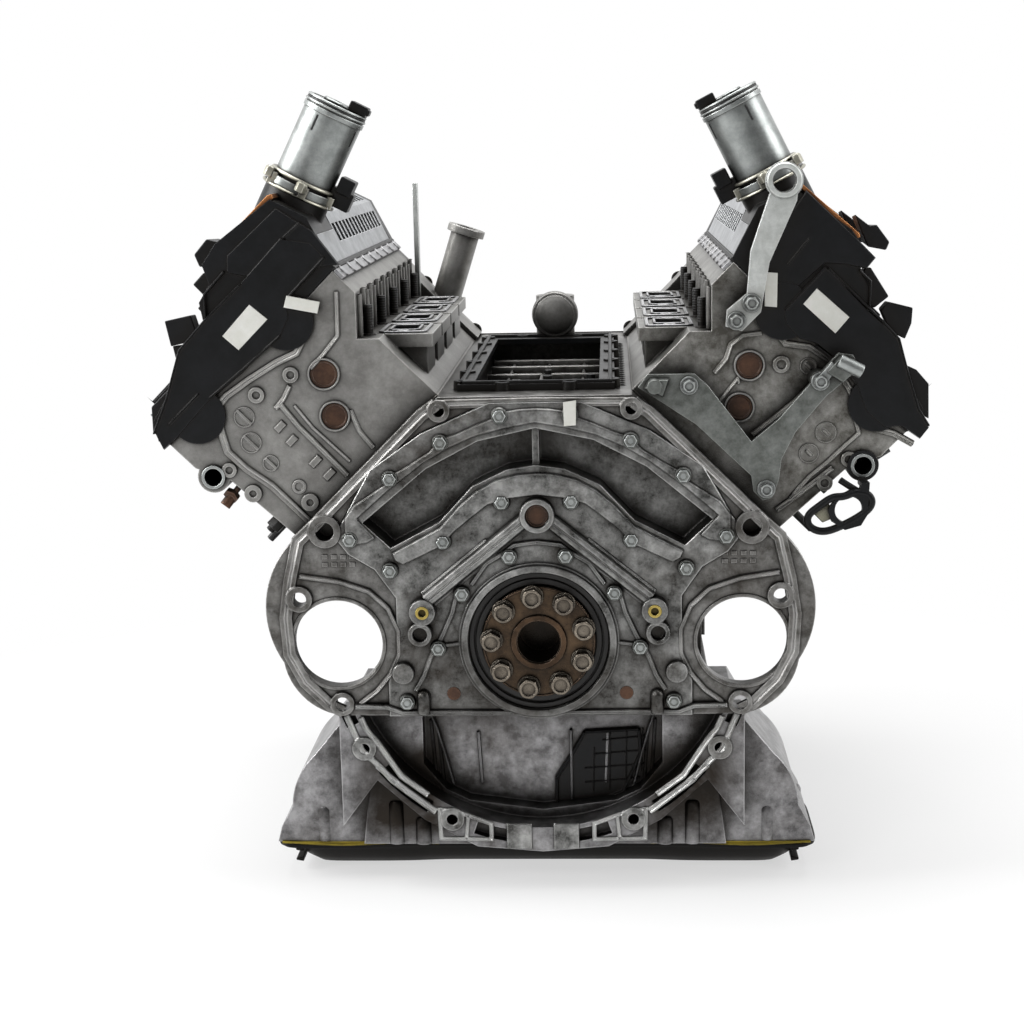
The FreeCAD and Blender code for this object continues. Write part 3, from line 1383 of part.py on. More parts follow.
def make_brackets():
    """Steel plate, lifting eyes and hose loop, which stand off the heads on spacers."""
    right_face = head_start(1)
    plate = prism([
        (90, 225), (98, 236), (139, 236), (150, 226), (188, 176), (212, 196), (240, 228),
        (262, 252), (275, 250), (280, 238), (252, 215), (226, 184), (214, 160), (212, 142),
        (206, 126), (198, 124), (190, 132), (188, 146), (140, 192), (110, 212)], 2, 5)
    spacers = [cylinder(8, right_face - 7, x, 7, z) for x, z in ((201, 134), (247, 228), (134, 226))]
    keep("rear_bracket", fuse(plate, *spacers))
    eye = fuse(prism([(204, 391), (227, 394), (226, 382), (203, 330), (196, 288), (180, 272),
                      (166, 276), (167, 290), (184, 304), (187, 340)], 6, 6),
               cylinder(16, 6, 215.4, 6, 399),
               cylinder(5.5, right_face - 12, 188, 12, 296),
               cylinder(6, right_face - 12, 175, 12, 281))
    right = cut(eye, cylinder(9.6, 6, 215.4, 6, 399))
    left = box(-148, head_start(-1) + s.head_length - 13, s.intake_level, 5, 13, 124)
    keep("lifting_eyes", group(right, left))
    # Loop that held a hose, clipped round the end of the right air gallery
    clip_x = (s.rail_up + s.rail_across) * ROOT_HALF
    clip_z = (s.rail_up - s.rail_across) * ROOT_HALF
    ring = prism([(262, 124), (276, 132), (288, 126), (291, 112), (284, 100), (270, 96),
                  (258, 104), (255, 114)], 4, 7, holes=[(273, 114, 12)])
    strap = prism([(280, 124), (284, 138), (291, 138), (290, 118)], 4, 7)
    bar = box(clip_x - 4, 4, clip_z - s.rail_radius - 6, 7, right_face - 4, 5)
    clip = tube(s.rail_radius + 3, s.rail_radius, 4, clip_x, right_face - 4, clip_z)
    keep("hose_holder", fuse(ring, strap, bar, clip))


gaskets = []
panels = []
gear = {"valves": [], "springs": [], "rockers": [], "brackets": []}
make_running_gear()
for side, name in SIDES:
    make_head(side, name)
    make_valve_gear(side)
    make_camshaft(side, name, "inlet", -s.cam_inlet)
    make_camshaft(side, name, "exhaust", s.cam_exhaust)
    make_eccentric(side, name)
    make_covers(side, name)
keep("head_gaskets", group(*gaskets))
keep("valves", group(*gear["valves"]))
keep("valve_springs", group(*gear["springs"]))
keep("rocker_arms", group(*gear["rockers"]))
keep("shaft_brackets", group(*gear["brackets"]))
keep("inner_cover_panels", group(*panels))
keep("lift_motors", group(*[make_motor(side) for side, _ in SIDES]))
make_timing()
make_front_covers()
make_sump()
make_oil_pump()
make_valley()
make_trims()
make_brackets()
keep("case_screws", group(*case_screws))

doc.recompute()
for item in doc.Objects:
    if "Invalid" in item.State or "Error" in item.State:
        raise RuntimeError("%s (%s) did not build: %s" % (item.Name, item.Label, item.State))
for item in nodes:
    if item.Shape.isNull() or not item.Shape.isValid():
        raise RuntimeError("%s has no valid shape" % item.Label)
os.makedirs("parts", exist_ok=True)
for item in nodes:
    item.Shape.exportStep("parts/%s.step" % item.Label)
    print("%-24s %3d solids %9.1f cm3" % (item.Label, len(item.Shape.Solids), item.Shape.Volume / 1000))
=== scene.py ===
import math

import bmesh
import bpy
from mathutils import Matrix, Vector


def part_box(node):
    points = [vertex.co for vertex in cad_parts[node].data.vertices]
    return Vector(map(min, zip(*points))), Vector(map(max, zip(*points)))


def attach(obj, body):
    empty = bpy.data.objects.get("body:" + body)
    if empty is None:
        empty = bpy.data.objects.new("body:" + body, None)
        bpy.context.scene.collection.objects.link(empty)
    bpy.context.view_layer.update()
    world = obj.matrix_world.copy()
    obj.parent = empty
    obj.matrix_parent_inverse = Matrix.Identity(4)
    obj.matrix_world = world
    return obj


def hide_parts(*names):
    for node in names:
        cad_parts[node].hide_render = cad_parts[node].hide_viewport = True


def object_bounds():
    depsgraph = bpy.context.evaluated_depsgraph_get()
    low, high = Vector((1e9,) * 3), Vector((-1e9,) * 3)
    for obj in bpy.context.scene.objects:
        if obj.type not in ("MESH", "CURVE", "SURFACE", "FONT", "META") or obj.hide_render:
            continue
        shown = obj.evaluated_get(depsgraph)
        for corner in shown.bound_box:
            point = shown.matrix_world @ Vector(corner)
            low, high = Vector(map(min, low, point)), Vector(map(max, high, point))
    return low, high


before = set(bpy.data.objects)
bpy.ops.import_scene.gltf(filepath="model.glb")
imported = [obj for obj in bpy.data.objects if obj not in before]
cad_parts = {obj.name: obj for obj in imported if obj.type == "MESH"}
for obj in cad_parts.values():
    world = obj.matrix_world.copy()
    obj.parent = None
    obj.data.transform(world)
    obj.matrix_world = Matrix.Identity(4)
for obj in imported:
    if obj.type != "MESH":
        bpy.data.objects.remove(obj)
cad_box = [list(corner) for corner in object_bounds()]

# The studio the engine stands in: a pale floor that keeps its shadow, a white surround,
# large soft lamps above and at both sides, and a camera behind the flywheel end.
scene = bpy.context.scene
scene.view_settings.view_transform = "Standard"

camera_data = bpy.data.cameras.new("engine_camera")
camera_data.sensor_width = 36.0
camera_data.lens = 63.8707
camera = bpy.data.objects.new("engine_camera", camera_data)
scene.collection.objects.link(camera)
scene.camera = camera
across_view = Vector((0.998397, 0.052076, -0.022186))
up_view = Vector((0.011295, 0.200776, 0.979572))
towards_camera = Vector((0.055466, -0.978252, 0.199866))
camera_place = Vector((0.067104, -1.566227, 0.436455))
for row in range(3):
    camera.matrix_world[row] = (across_view[row], up_view[row], towards_camera[row],
                                camera_place[row])


def soft_lamp(name, place, target, width, depth, watts):
    """A rectangular studio lamp that points at the engine."""
    data = bpy.data.lights.new(name, "AREA")
    data.shape = "RECTANGLE"
    data.size = width
    data.size_y = depth
    data.energy = watts
    lamp = bpy.data.objects.new(name, data)
    lamp.location = place
    aim = Vector(target) - Vector(place)
    lamp.rotation_euler = aim.to_track_quat("-Z", "Y").to_euler()
    scene.collection.objects.link(lamp)


soft_lamp("lamp_top", (0.0, 0.5, 2.4), (0.0, 0.2, 0.1), 2.2, 1.6, 62)
soft_lamp("lamp_left", (-2.2, -0.1, 1.2), (0.0, 0.1, 0.1), 1.2, 1.6, 60)
soft_lamp("lamp_right", (2.2, -0.1, 1.2), (0.0, 0.1, 0.1), 1.2, 1.6, 24)
soft_lamp("lamp_front", (-1.5, -2.1, 1.7), (0.0, 0.1, 0.1), 1.0, 0.7, 15)

world = bpy.data.worlds.new("studio_surround")
scene.world = world
world.use_nodes = True
nodes = world.node_tree.nodes
links = world.node_tree.links
nodes.clear()
path = nodes.new("ShaderNodeLightPath")
seen = nodes.new("ShaderNodeMath")
seen.operation = "MAXIMUM"
links.new(path.outputs["Is Camera Ray"], seen.inputs[0])
links.new(path.outputs["Is Transmission Ray"], seen.inputs[1])
# Shiny faces see a white room behind and above, and a dimmer one on the flywheel side
direction = nodes.new("ShaderNodeTexCoord")
split = nodes.new("ShaderNodeSeparateXYZ")
links.new(direction.outputs["Generated"], split.inputs[0])
room = nodes.new("ShaderNodeMapRange")
room.inputs["From Min"].default_value = -0.72
room.inputs["From Max"].default_value = 0.15
room.inputs["To Min"].default_value = 0.03
room.inputs["To Max"].default_value = 1.0
links.new(split.outputs["Y"], room.inputs["Value"])
glossy = nodes.new("ShaderNodeMath")
glossy.operation = "MULTIPLY"
links.new(path.outputs["Is Glossy Ray"], glossy.inputs[0])
links.new(room.outputs["Result"], glossy.inputs[1])
fill = nodes.new("ShaderNodeMath")
fill.operation = "MAXIMUM"
links.new(glossy.outputs[0], fill.inputs[0])
fill.inputs[1].default_value = 0.2
strength = nodes.new("ShaderNodeMath")
strength.operation = "MAXIMUM"
links.new(fill.outputs[0], strength.inputs[0])
links.new(seen.outputs[0], strength.inputs[1])
surround = nodes.new("ShaderNodeBackground")
surround.inputs["Color"].default_value = (1, 1, 1, 1)
links.new(strength.outputs[0], surround.inputs["Strength"])
output = nodes.new("ShaderNodeOutputWorld")
links.new(surround.outputs[0], output.inputs["Surface"])

FLOOR_REACH = 9.0
FLOOR_GAP = 0.0005
floor_mesh = bpy.data.meshes.new("studio_floor")
floor_mesh.from_pydata([(a * FLOOR_REACH, b * FLOOR_REACH, 0)
                        for a, b in ((-1, -1), (1, -1), (1, 1), (-1, 1))], [], [(0, 1, 2, 3)])
floor = bpy.data.objects.new("studio_floor", floor_mesh)
floor.location.z = cad_box[0][2] - FLOOR_GAP
scene.collection.objects.link(floor)
# Close to the engine the floor keeps its shadow, and further out it turns to plain white
floor_paint = bpy.data.materials.new("floor_white")
floor_paint.use_nodes = True
nodes = floor_paint.node_tree.nodes
links = floor_paint.node_tree.links
nodes.clear()
matt = nodes.new("ShaderNodeBsdfDiffuse")
matt.inputs["Color"].default_value = (0.9, 0.9, 0.9, 1)
glow = nodes.new("ShaderNodeEmission")
path = nodes.new("ShaderNodeLightPath")
spot = nodes.new("ShaderNodeTexCoord")
far = nodes.new("ShaderNodeVectorMath")
far.operation = "LENGTH"
links.new(spot.outputs["Object"], far.inputs[0])
reach = nodes.new("ShaderNodeMapRange")
reach.inputs["From Min"].default_value = 0.45
reach.inputs["From Max"].default_value = 1.1
reach.inputs["To Min"].default_value = 0.6
links.new(far.outputs["Value"], reach.inputs["Value"])
seen = nodes.new("ShaderNodeMath")
seen.operation = "MAXIMUM"
links.new(path.outputs["Is Camera Ray"], seen.inputs[0])
links.new(path.outputs["Is Glossy Ray"], seen.inputs[1])
share = nodes.new("ShaderNodeMath")
share.operation = "MULTIPLY"
links.new(seen.outputs[0], share.inputs[0])
links.new(reach.outputs["Result"], share.inputs[1])
blend = nodes.new("ShaderNodeMixShader")
links.new(share.outputs[0], blend.inputs[0])
links.new(matt.outputs[0], blend.inputs[1])
links.new(glow.outputs[0], blend.inputs[2])
output = nodes.new("ShaderNodeOutputMaterial")
links.new(blend.outputs[0], output.inputs["Surface"])
floor_mesh.materials.append(floor_paint)


# Engine block: one aluminium casting for both banks. Its skin is left as cast, a little
# rough and stained with oil, with painted shade and dirt in its low spots, and its joint faces are
# milled smooth.
OIL = (0.035, 0.026, 0.018)
# Near black of the zones that are painted dark, as painted shade and old oil
SHADE_AND_OIL_BLACK = (0.025, 0.02, 0.016)
# Colour of the painted shade, with oil and dust, in the corners
CORNER_SHADE_AND_DIRT = (0.012, 0.010, 0.008)


def finish_of(name, light, dark, metallic, roughness, grain=0.35, grain_size=900.0,
              stain=None, stain_amount=0.35, edge=0.0012, corner_shade_and_dirt=0.9, edge_highlight_and_wear=0.75,
              shade_and_oil_zone=None, shine=0.5):
    """A material with two tones, fine grain, broad stains and softly rounded edges, with painted
    highlights on its edges, painted shade in its corners and a zone that may be painted near black.
    """
    paint = bpy.data.materials.new(name)
    paint.use_nodes = True
    nodes = paint.node_tree.nodes
    links = paint.node_tree.links
    shader = nodes["Principled BSDF"]
    shader.inputs["Metallic"].default_value = metallic
    shader.inputs["Specular IOR Level"].default_value = shine
    spot = nodes.new("ShaderNodeTexCoord")
    cloud = nodes.new("ShaderNodeTexNoise")
    cloud.inputs["Scale"].default_value = 44.0
    cloud.inputs["Detail"].default_value = 9.0
    cloud.inputs["Roughness"].default_value = 0.74
    links.new(spot.outputs["Object"], cloud.inputs["Vector"])
    spread = nodes.new("ShaderNodeMapRange")
    spread.inputs["From Min"].default_value = 0.38
    spread.inputs["From Max"].default_value = 0.645
    links.new(cloud.outputs["Fac"], spread.inputs["Value"])
    tone = nodes.new("ShaderNodeMix")
    tone.data_type = "RGBA"
    tone.inputs["A"].default_value = dark + (1,)
    tone.inputs["B"].default_value = light + (1,)
    links.new(spread.outputs["Result"], tone.inputs["Factor"])
    colour = tone.outputs["Result"]
    if stain:
        soak = nodes.new("ShaderNodeTexNoise")
        soak.inputs["Scale"].default_value = 9.0
        soak.inputs["Detail"].default_value = 6.0
        soak.inputs["Roughness"].default_value = 0.7
        soak.inputs["Distortion"].default_value = 0.6
        links.new(spot.outputs["Object"], soak.inputs["Vector"])
        limit = nodes.new("ShaderNodeMapRange")
        limit.inputs["From Min"].default_value = 0.5
        limit.inputs["From Max"].default_value = 0.72
        limit.inputs["To Max"].default_value = stain_amount
        links.new(soak.outputs["Fac"], limit.inputs["Value"])
        dirt = nodes.new("ShaderNodeMix")
        dirt.data_type = "RGBA"
        dirt.inputs["B"].default_value = stain + (1,)
        links.new(limit.outputs["Result"], dirt.inputs["Factor"])
        links.new(colour, dirt.inputs["A"])
        colour = dirt.outputs["Result"]
    soften = nodes.new("ShaderNodeBevel")
    soften.samples = 6
    soften.inputs["Radius"].default_value = edge
    if edge_highlight_and_wear:
        # Edges are painted bright, partly as wear and partly as a painted highlight, wherever the
        # softened normal leaves the real one
        shape = nodes.new("ShaderNodeNewGeometry")
        agree = nodes.new("ShaderNodeVectorMath")
        agree.operation = "DOT_PRODUCT"
        links.new(soften.outputs["Normal"], agree.inputs[0])
        links.new(shape.outputs["Normal"], agree.inputs[1])
        edge_highlight_share = nodes.new("ShaderNodeMapRange")
        edge_highlight_share.inputs["From Min"].default_value = 0.985
        edge_highlight_share.inputs["From Max"].default_value = 0.80
        edge_highlight_share.inputs["To Max"].default_value = edge_highlight_and_wear
        links.new(agree.outputs["Value"], edge_highlight_share.inputs["Value"])
        bright = nodes.new("ShaderNodeMix")
        bright.data_type = "RGBA"
        bright.inputs["B"].default_value = tuple(min(1, 0.12 + 1.8 * part) for part in light) + (1,)
        links.new(edge_highlight_share.outputs["Result"], bright.inputs["Factor"])
        links.new(colour, bright.inputs["A"])
        colour = bright.outputs["Result"]
    if shade_and_oil_zone:
        # A zone is painted near black, as painted shade and old oil: its reach across, along and
        # up, and how much
        place = nodes.new("ShaderNodeSeparateXYZ")
        links.new(spot.outputs["Object"], place.inputs[0])
        side = nodes.new("ShaderNodeMath")
        side.operation = "ABSOLUTE"
        links.new(place.outputs["X"], side.inputs[0])
        share = soak.outputs["Fac"]
        for source, (least, most) in zip((side.outputs[0], place.outputs["Y"],
                                         place.outputs["Z"]), shade_and_oil_zone[:3]):
            for near, far in ((least - 0.012, least + 0.018), (most + 0.006, most - 0.03)):
                gate = nodes.new("ShaderNodeMapRange")
                gate.interpolation_type = "SMOOTHSTEP"
                gate.inputs["From Min"].default_value = near
                gate.inputs["From Max"].default_value = far
                links.new(source, gate.inputs["Value"])
                within = nodes.new("ShaderNodeMath")
                within.operation = "MULTIPLY"
                links.new(gate.outputs["Result"], within.inputs[0])
                links.new(share, within.inputs[1])
                share = within.outputs[0]
        boost = nodes.new("ShaderNodeMath")
        boost.operation = "MULTIPLY"
        boost.use_clamp = True
        boost.inputs[1].default_value = shade_and_oil_zone[3]
        links.new(share, boost.inputs[0])
        black = nodes.new("ShaderNodeMix")
        black.data_type = "RGBA"
        black.inputs["B"].default_value = SHADE_AND_OIL_BLACK + (1,)
        links.new(boost.outputs[0], black.inputs["Factor"])
        links.new(colour, black.inputs["A"])
        colour = black.outputs["Result"]
    if corner_shade_and_dirt:
        # Painted shade, together with oil and dust, darkens the corners and round the feet of ribs
        # and bosses
        corner = nodes.new("ShaderNodeAmbientOcclusion")
        corner.samples = 6
        corner.inputs["Distance"].default_value = 0.03
        depth = nodes.new("ShaderNodeMapRange")
        depth.inputs["From Min"].default_value = 0.5
        depth.inputs["From Max"].default_value = 1.0
        depth.inputs["To Min"].default_value = corner_shade_and_dirt
        depth.inputs["To Max"].default_value = 0.0
        links.new(corner.outputs["AO"], depth.inputs["Value"])
        corner_shade_mix = nodes.new("ShaderNodeMix")
        corner_shade_mix.data_type = "RGBA"
        corner_shade_mix.inputs["B"].default_value = CORNER_SHADE_AND_DIRT + (1,)
        links.new(depth.outputs["Result"], corner_shade_mix.inputs["Factor"])
        links.new(colour, corner_shade_mix.inputs["A"])
        colour = corner_shade_mix.outputs["Result"]
    links.new(colour, shader.inputs["Base Color"])
    fine = nodes.new("ShaderNodeTexNoise")
    fine.inputs["Scale"].default_value = grain_size
    fine.inputs["Detail"].default_value = 3.0
    links.new(spot.outputs["Object"], fine.inputs["Vector"])
    rough = nodes.new("ShaderNodeMapRange")
    rough.inputs["To Min"].default_value = roughness - 0.08
    rough.inputs["To Max"].default_value = roughness + 0.14
    links.new(cloud.outputs["Fac"], rough.inputs["Value"])
    links.new(rough.outputs["Result"], shader.inputs["Roughness"])
    bump = nodes.new("ShaderNodeBump")
    bump.inputs["Strength"].default_value = grain
    bump.inputs["Distance"].default_value = 0.0004
    links.new(fine.outputs["Fac"], bump.inputs["Height"])
    links.new(soften.outputs["Normal"], bump.inputs["Normal"])
    links.new(bump.outputs["Normal"], shader.inputs["Normal"])
    return paint


def dress(names, paint):
    """Gives CAD nodes their material."""
    for name in names:
        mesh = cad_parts[name].data
        mesh.materials.clear()
        mesh.materials.append(paint)


cast_block = finish_of("cast_block", (0.31, 0.305, 0.295), (0.075, 0.072, 0.066), 0.85, 0.32,
                       stain=OIL, stain_amount=0.7, edge=0.002)
dress(["engine_block"], cast_block)

# Rear end cover casting: pressure cast aluminium with a bright skin. A zone from the
# middle to its foot is painted near black.
cast_cover = finish_of("cast_cover", (0.38, 0.38, 0.37), (0.055, 0.055, 0.052), 0.85, 0.27,
                       stain=OIL, stain_amount=0.8, edge=0.0024,
                       shade_and_oil_zone=((-0.02, 0.128), (-0.05, 0.09), (-0.08, 0.02), 0.9))
dress(["rear_end_cover"], cast_cover)

# Left cylinder head and the castings of the belt end: sand cast aluminium, matt and pale,
# with little oil on it. They are screwed to the block.
cast_head = finish_of("cast_head", (0.35, 0.345, 0.33), (0.22, 0.215, 0.205), 0.8, 0.42,
                      stain=OIL, stain_amount=0.32, edge=0.002)
dress(["left_cylinder_head", "upper_timing_covers", "timing_cover", "coolant_neck",
       "water_pump", "oil_pump"], cast_head)

# Right cylinder head: the same sand casting as the left one, with more oil stain and
# darker tones.
oily_head = finish_of("oily_head", (0.36, 0.355, 0.335), (0.095, 0.09, 0.078), 0.8, 0.32,
                      stain=OIL, stain_amount=0.6, edge=0.002)
dress(["right_cylinder_head"], oily_head)

# Upper sump, bearing caps and shaft brackets: die cast aluminium. The sump's rear face is
# painted black between the flange and the two lobes, as old oil and as painted shade of its
# hollows.
cast_sump = finish_of("cast_sump", (0.38, 0.375, 0.38), (0.10, 0.097, 0.098), 0.85, 0.3,
                      stain=OIL, stain_amount=0.5, edge=0.0022,
                      shade_and_oil_zone=((0.085, 0.181), (-0.02, 0.09), (-0.197, -0.095), 2.0))
dress(["upper_sump", "main_bearing_caps", "shaft_brackets"], cast_sump)

# Panels on the inner slopes of the head covers: bright pressed aluminium, screwed down along
# both edges.
bright_cast = finish_of("bright_cast", (0.47, 0.48, 0.495), (0.27, 0.28, 0.29), 0.85, 0.36)
dress(["inner_cover_panels"], bright_cast)

# Zinc plated steel: the cans of the lift motors, the case screws, the air rails and the
# chain guides' carriers. The plating is dull, with traces of dried oil.
zinc_steel = finish_of("zinc_steel", (0.42, 0.44, 0.43), (0.25, 0.265, 0.26), 0.9, 0.33,
                       stain=(0.12, 0.1, 0.07), stain_amount=0.3, grain=0.12)
dress(["lift_motors", "case_screws", "air_rails", "chain_guides"], zinc_steel)

# Lifting eyes: forged steel arms, plated and worn pale by handling. Each is held on a head
# by two screws.
worn_steel = finish_of("worn_steel", (0.74, 0.76, 0.74), (0.5, 0.52, 0.5), 0.7, 0.42,
                       stain=(0.2, 0.18, 0.13), stain_amount=0.35, grain=0.2)
dress(["lifting_eyes"], worn_steel)

# Rear bracket: thick steel plate, bent and plated grey, and screwed across the joint of the
# right head and the block.
plate_steel = finish_of("plate_steel", (0.24, 0.252, 0.24), (0.10, 0.107, 0.098), 0.85, 0.34,
                        stain=(0.05, 0.045, 0.035), stain_amount=0.5, grain=0.2)
dress(["rear_bracket"], plate_steel)

# Crankshaft and its flange bolts: forged steel, brown with old oil. The pilot bore in the
# middle of the flange is painted black inside, as painted shade of its depth.
oily_steel = finish_of("oily_steel", (0.17, 0.11, 0.065), (0.06, 0.04, 0.026), 0.9, 0.25,
                       stain=(0.015, 0.01, 0.006), stain_amount=0.7, grain=0.1,
                       shade_and_oil_zone=((-0.02, 0.024), (-0.03, 0.1), (-0.024, 0.024), 3.0))
dress(["crankshaft", "crank_flange_bolts"], oily_steel)

# Inner moving parts: ground and hardened steel under a film of oil. They turn and slide
# inside the closed engine.
ground_steel = finish_of("ground_steel", (0.4, 0.38, 0.35), (0.25, 0.235, 0.21), 0.95, 0.28,
                         stain=OIL, stain_amount=0.4, grain=0.08)
inner_parts = ["connecting_rods", "valves", "valve_springs", "rocker_arms", "timing_chains",
               "crank_sprockets", "oil_pump_shaft", "main_bearing_shells", "head_gaskets"]
inner_parts += ["piston_%d" % number for number in range(1, 9)]
for bank in ("left", "right"):
    inner_parts += [bank + "_inlet_camshaft", bank + "_exhaust_camshaft",
                    bank + "_inlet_phaser", bank + "_exhaust_phaser",
                    bank + "_eccentric_shaft"]
dress(inner_parts, ground_steel)

# Head covers, valley frame, sump grille and hose holder: glass filled nylon mouldings, black
# and slightly glossy, screwed or clipped on.
# Their edges get a faint painted highlight.
black_plastic = finish_of("black_plastic", (0.007, 0.0075, 0.009), (0.003, 0.0035, 0.004), 0.0,
                          0.34, grain=0.2, grain_size=1400.0, edge_highlight_and_wear=0.12, shine=0.22)
dress(["left_head_cover", "right_head_cover", "valley_frame", "sump_grille", "hose_holder"],
      black_plastic)

# Oil pan, vibration damper and pump pulley: steel under black paint, which is dull, with a
# faint painted highlight at the edges.
black_paint = finish_of("black_paint", (0.006, 0.006, 0.0065), (0.003, 0.003, 0.003), 0.0, 0.42,
                        edge_highlight_and_wear=0.06, shine=0.16)
dress(["oil_pan", "vibration_damper", "water_pump_pulley"], black_paint)

# Shaft seals: black rubber lips, pressed into the two end covers round the crankshaft.
# Rubber gets no painted highlight on its edges.
black_rubber = finish_of("black_rubber", (0.012, 0.012, 0.012), (0.006, 0.006, 0.006), 0.0, 0.5,
                         edge_highlight_and_wear=0)
dress(["rear_main_seal", "front_seal"], black_rubber)

# Manifold studs: blackened steel, screwed into the heads on the intake side and the exhaust
# side.
dark_steel = finish_of("dark_steel", (0.06, 0.06, 0.06), (0.03, 0.03, 0.03), 0.8, 0.4, edge_highlight_and_wear=0.4)
dress(["manifold_studs"], dark_steel)

# Sump gasket: a thin yellow rubber coated sheet, clamped between the upper sump and the oil
# pan.
yellow_rubber = finish_of("yellow_rubber", (0.42, 0.32, 0.03), (0.25, 0.19, 0.02), 0.0, 0.5,
                          corner_shade_and_dirt=0, edge_highlight_and_wear=0)
dress(["sump_gasket"], yellow_rubber)


# Rear flange of the block: a milled rim runs round the outside, over the dowel bosses and
# round both starter holes. It is one with the block, and stands a little proud of the web.
MM = 0.001
TURN = math.sqrt(0.5)


def rear(a, b, y):
    """A point of the flywheel end, given across, up and along in millimetres."""
    return Vector((a, y, b)) * MM


def offset(points, step, closed=True):
    """Moves an anticlockwise outline inwards by a step, with mitred corners."""
    moved = []
    count = len(points)
    for index in range(count):
        here = Vector(points[index][:2])
        if closed or 0 < index < count - 1:
            before = (here - Vector(points[index - 1][:2])).normalized()
            after = (Vector(points[(index + 1) % count][:2]) - here).normalized()
        elif index == 0:
            before = after = (Vector(points[1][:2]) - here).normalized()
        else:
            before = after = (here - Vector(points[index - 1][:2])).normalized()
        normal = Vector((-before.y - after.y, before.x + after.x))
        if normal.length < 1e-6:
            normal = Vector((-before.y, before.x))
        normal.normalize()
        square = Vector((-before.y, before.x))
        moved.append(here + normal * (step / max(normal.dot(square), 0.35)))
    return [tuple(point) for point in moved]


def area_of(points):
    """Twice the signed area of an outline: positive when it runs anticlockwise."""
    return sum(points[i - 1][0] * points[i][1] - points[i][0] * points[i - 1][1]
               for i in range(len(points)))


def skin(mesh, loops, capped=True):
    """Joins loops of points that lie one after the other, and closes both ends."""
    for one, other in zip(loops, loops[1:]):
        for index in range(len(one)):
            after = (index + 1) % len(one)
            mesh.faces.new((one[index], one[after], other[after], other[index]))
    if capped:
        mesh.faces.new(loops[-1])
        mesh.faces.new(list(reversed(loops[0])))


def around(mesh, place, a, b, radius, level, steps):
    """A round loop of points about a centre, on one level."""
    return [mesh.verts.new(place(a + radius * math.cos(step * math.tau / steps),
                                 b + radius * math.sin(step * math.tau / steps), level))
            for step in range(steps)]


def slab(mesh, outline, back, front, place=rear, draft=0.0):
    """A raised patch between two levels, whose sides lean in by the draft."""
    outline = [point[:2] for point in outline]
    if area_of(outline) < 0:
        outline.reverse()
    top = offset(outline, draft) if draft else outline
    skin(mesh, [[mesh.verts.new(place(a, b, back)) for a, b in outline],
                [mesh.verts.new(place(a, b, front)) for a, b in top]])


def ridge(mesh, line, width, back, front, place=rear, crown=0.45):
    """A rib along a line, with a narrower rounded top."""
    half = width / 2
    rails = []
    for share, level in ((1.0, back), (0.92, back + (front - back) * 0.6),
                         (crown, back + (front - back) * 0.93)):
        rails.append([(a, b, level) for a, b in offset(line, half * share, False)])
        rails.insert(0, [(a, b, level) for a, b in offset(line, -half * share, False)])
    rails.insert(3, [(a, b, front) for a, b in [point[:2] for point in line]])
    rows = [[mesh.verts.new(place(*point)) for point in rail] for rail in rails]
    for one, other in zip(rows, rows[1:] + rows[:1]):
        for index in range(len(line) - 1):
            mesh.faces.new((one[index], one[index + 1], other[index + 1], other[index]))
    mesh.faces.new([row[0] for row in rows])
    mesh.faces.new([row[-1] for row in reversed(rows)])


def ring(mesh, a, b, outer, inner, back, front, place=rear, steps=28, dish=None, draft=0.0):
    """A round boss. With an inner radius it has a hole, whose floor lies at the dish level."""
    levels = [(outer, back), (outer - draft, front)]
    if inner:
        levels += [(inner, front), (inner, back if dish is None else dish)]
    loops = [around(mesh, place, a, b, radius, level, steps) for radius, level in levels]
    if inner and dish is None:
        skin(mesh, loops + loops[:1], capped=False)
    else:
        skin(mesh, loops)


def piece(name, mesh, body, paint, bevel=0.0006, smooth=40):
    """Closes a mesh into a piece of the engine that rides on a body."""
    bmesh.ops.recalc_face_normals(mesh, faces=mesh.faces)
    data = bpy.data.meshes.new(name)
    mesh.to_mesh(data)
    mesh.free()
    data.materials.append(paint)
    data.shade_smooth()
    data.set_sharp_from_angle(angle=math.radians(smooth))
    item = bpy.data.objects.new(name, data)
    scene.collection.objects.link(item)
    if bevel:
        rounding = item.modifiers.new("rounding", "BEVEL")
        rounding.width = bevel
        rounding.segments = 2
        rounding.limit_method = "ANGLE"
        rounding.angle_limit = math.radians(40)
        rounding.harden_normals = True
    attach(item, body)
    return item


def both(points):
    """The same points on the right and on the left of the engine."""
    for side in (1, -1):
        yield [(side * point[0],) + tuple(point[1:]) for point in points]


mesh = bmesh.new()
for line in both([(86, 213), (99, 204), (197, 107), (213, 92), (222, 55), (227, 22),
                  (225, -12), (212, -38), (190, -60), (178, -66)]):
    ridge(mesh, line, 12.5, 0.5, -3.0, crown=0.9)
for spots in both([(84, 207.4, 10, 5), (188.5, 101, 15, 8.2), (214.1, 39.3, 12, 6.5),
                   (178.7, -58.5, 11, 6.5)]):
    for a, b, outer, inner in spots:
        ring(mesh, a, b, outer, inner, 0.5, -4.0)
ridge(mesh, [(-86, 213), (0, 214), (86, 213)], 9, 0.5, -3.0, crown=0.8)
piece("flange_rim", mesh, "root", cast_block)

# Starter holes: each has a turned lip, and a cast step of the flange curves past it on the
# inside. They are part of the block's casting.
mesh = bmesh.new()
for line in both([(213, 60.1), (177.7, 54.9), (151.2, 45.8), (134.5, 29.9),
                  (125.6, 9.1), (126, -12.8), (133.8, -30.7), (146.9, -46.7),
                  (162.9, -58.6)]):
    ridge(mesh, line, 5.5, 0.5, -4.0)
for a in (180.7, -180.7):
    ring(mesh, a, -2.6, 43.5, 40.2, 0.5, -1.5, steps=64)
piece("starter_hole_steps", mesh, "root", cast_block)

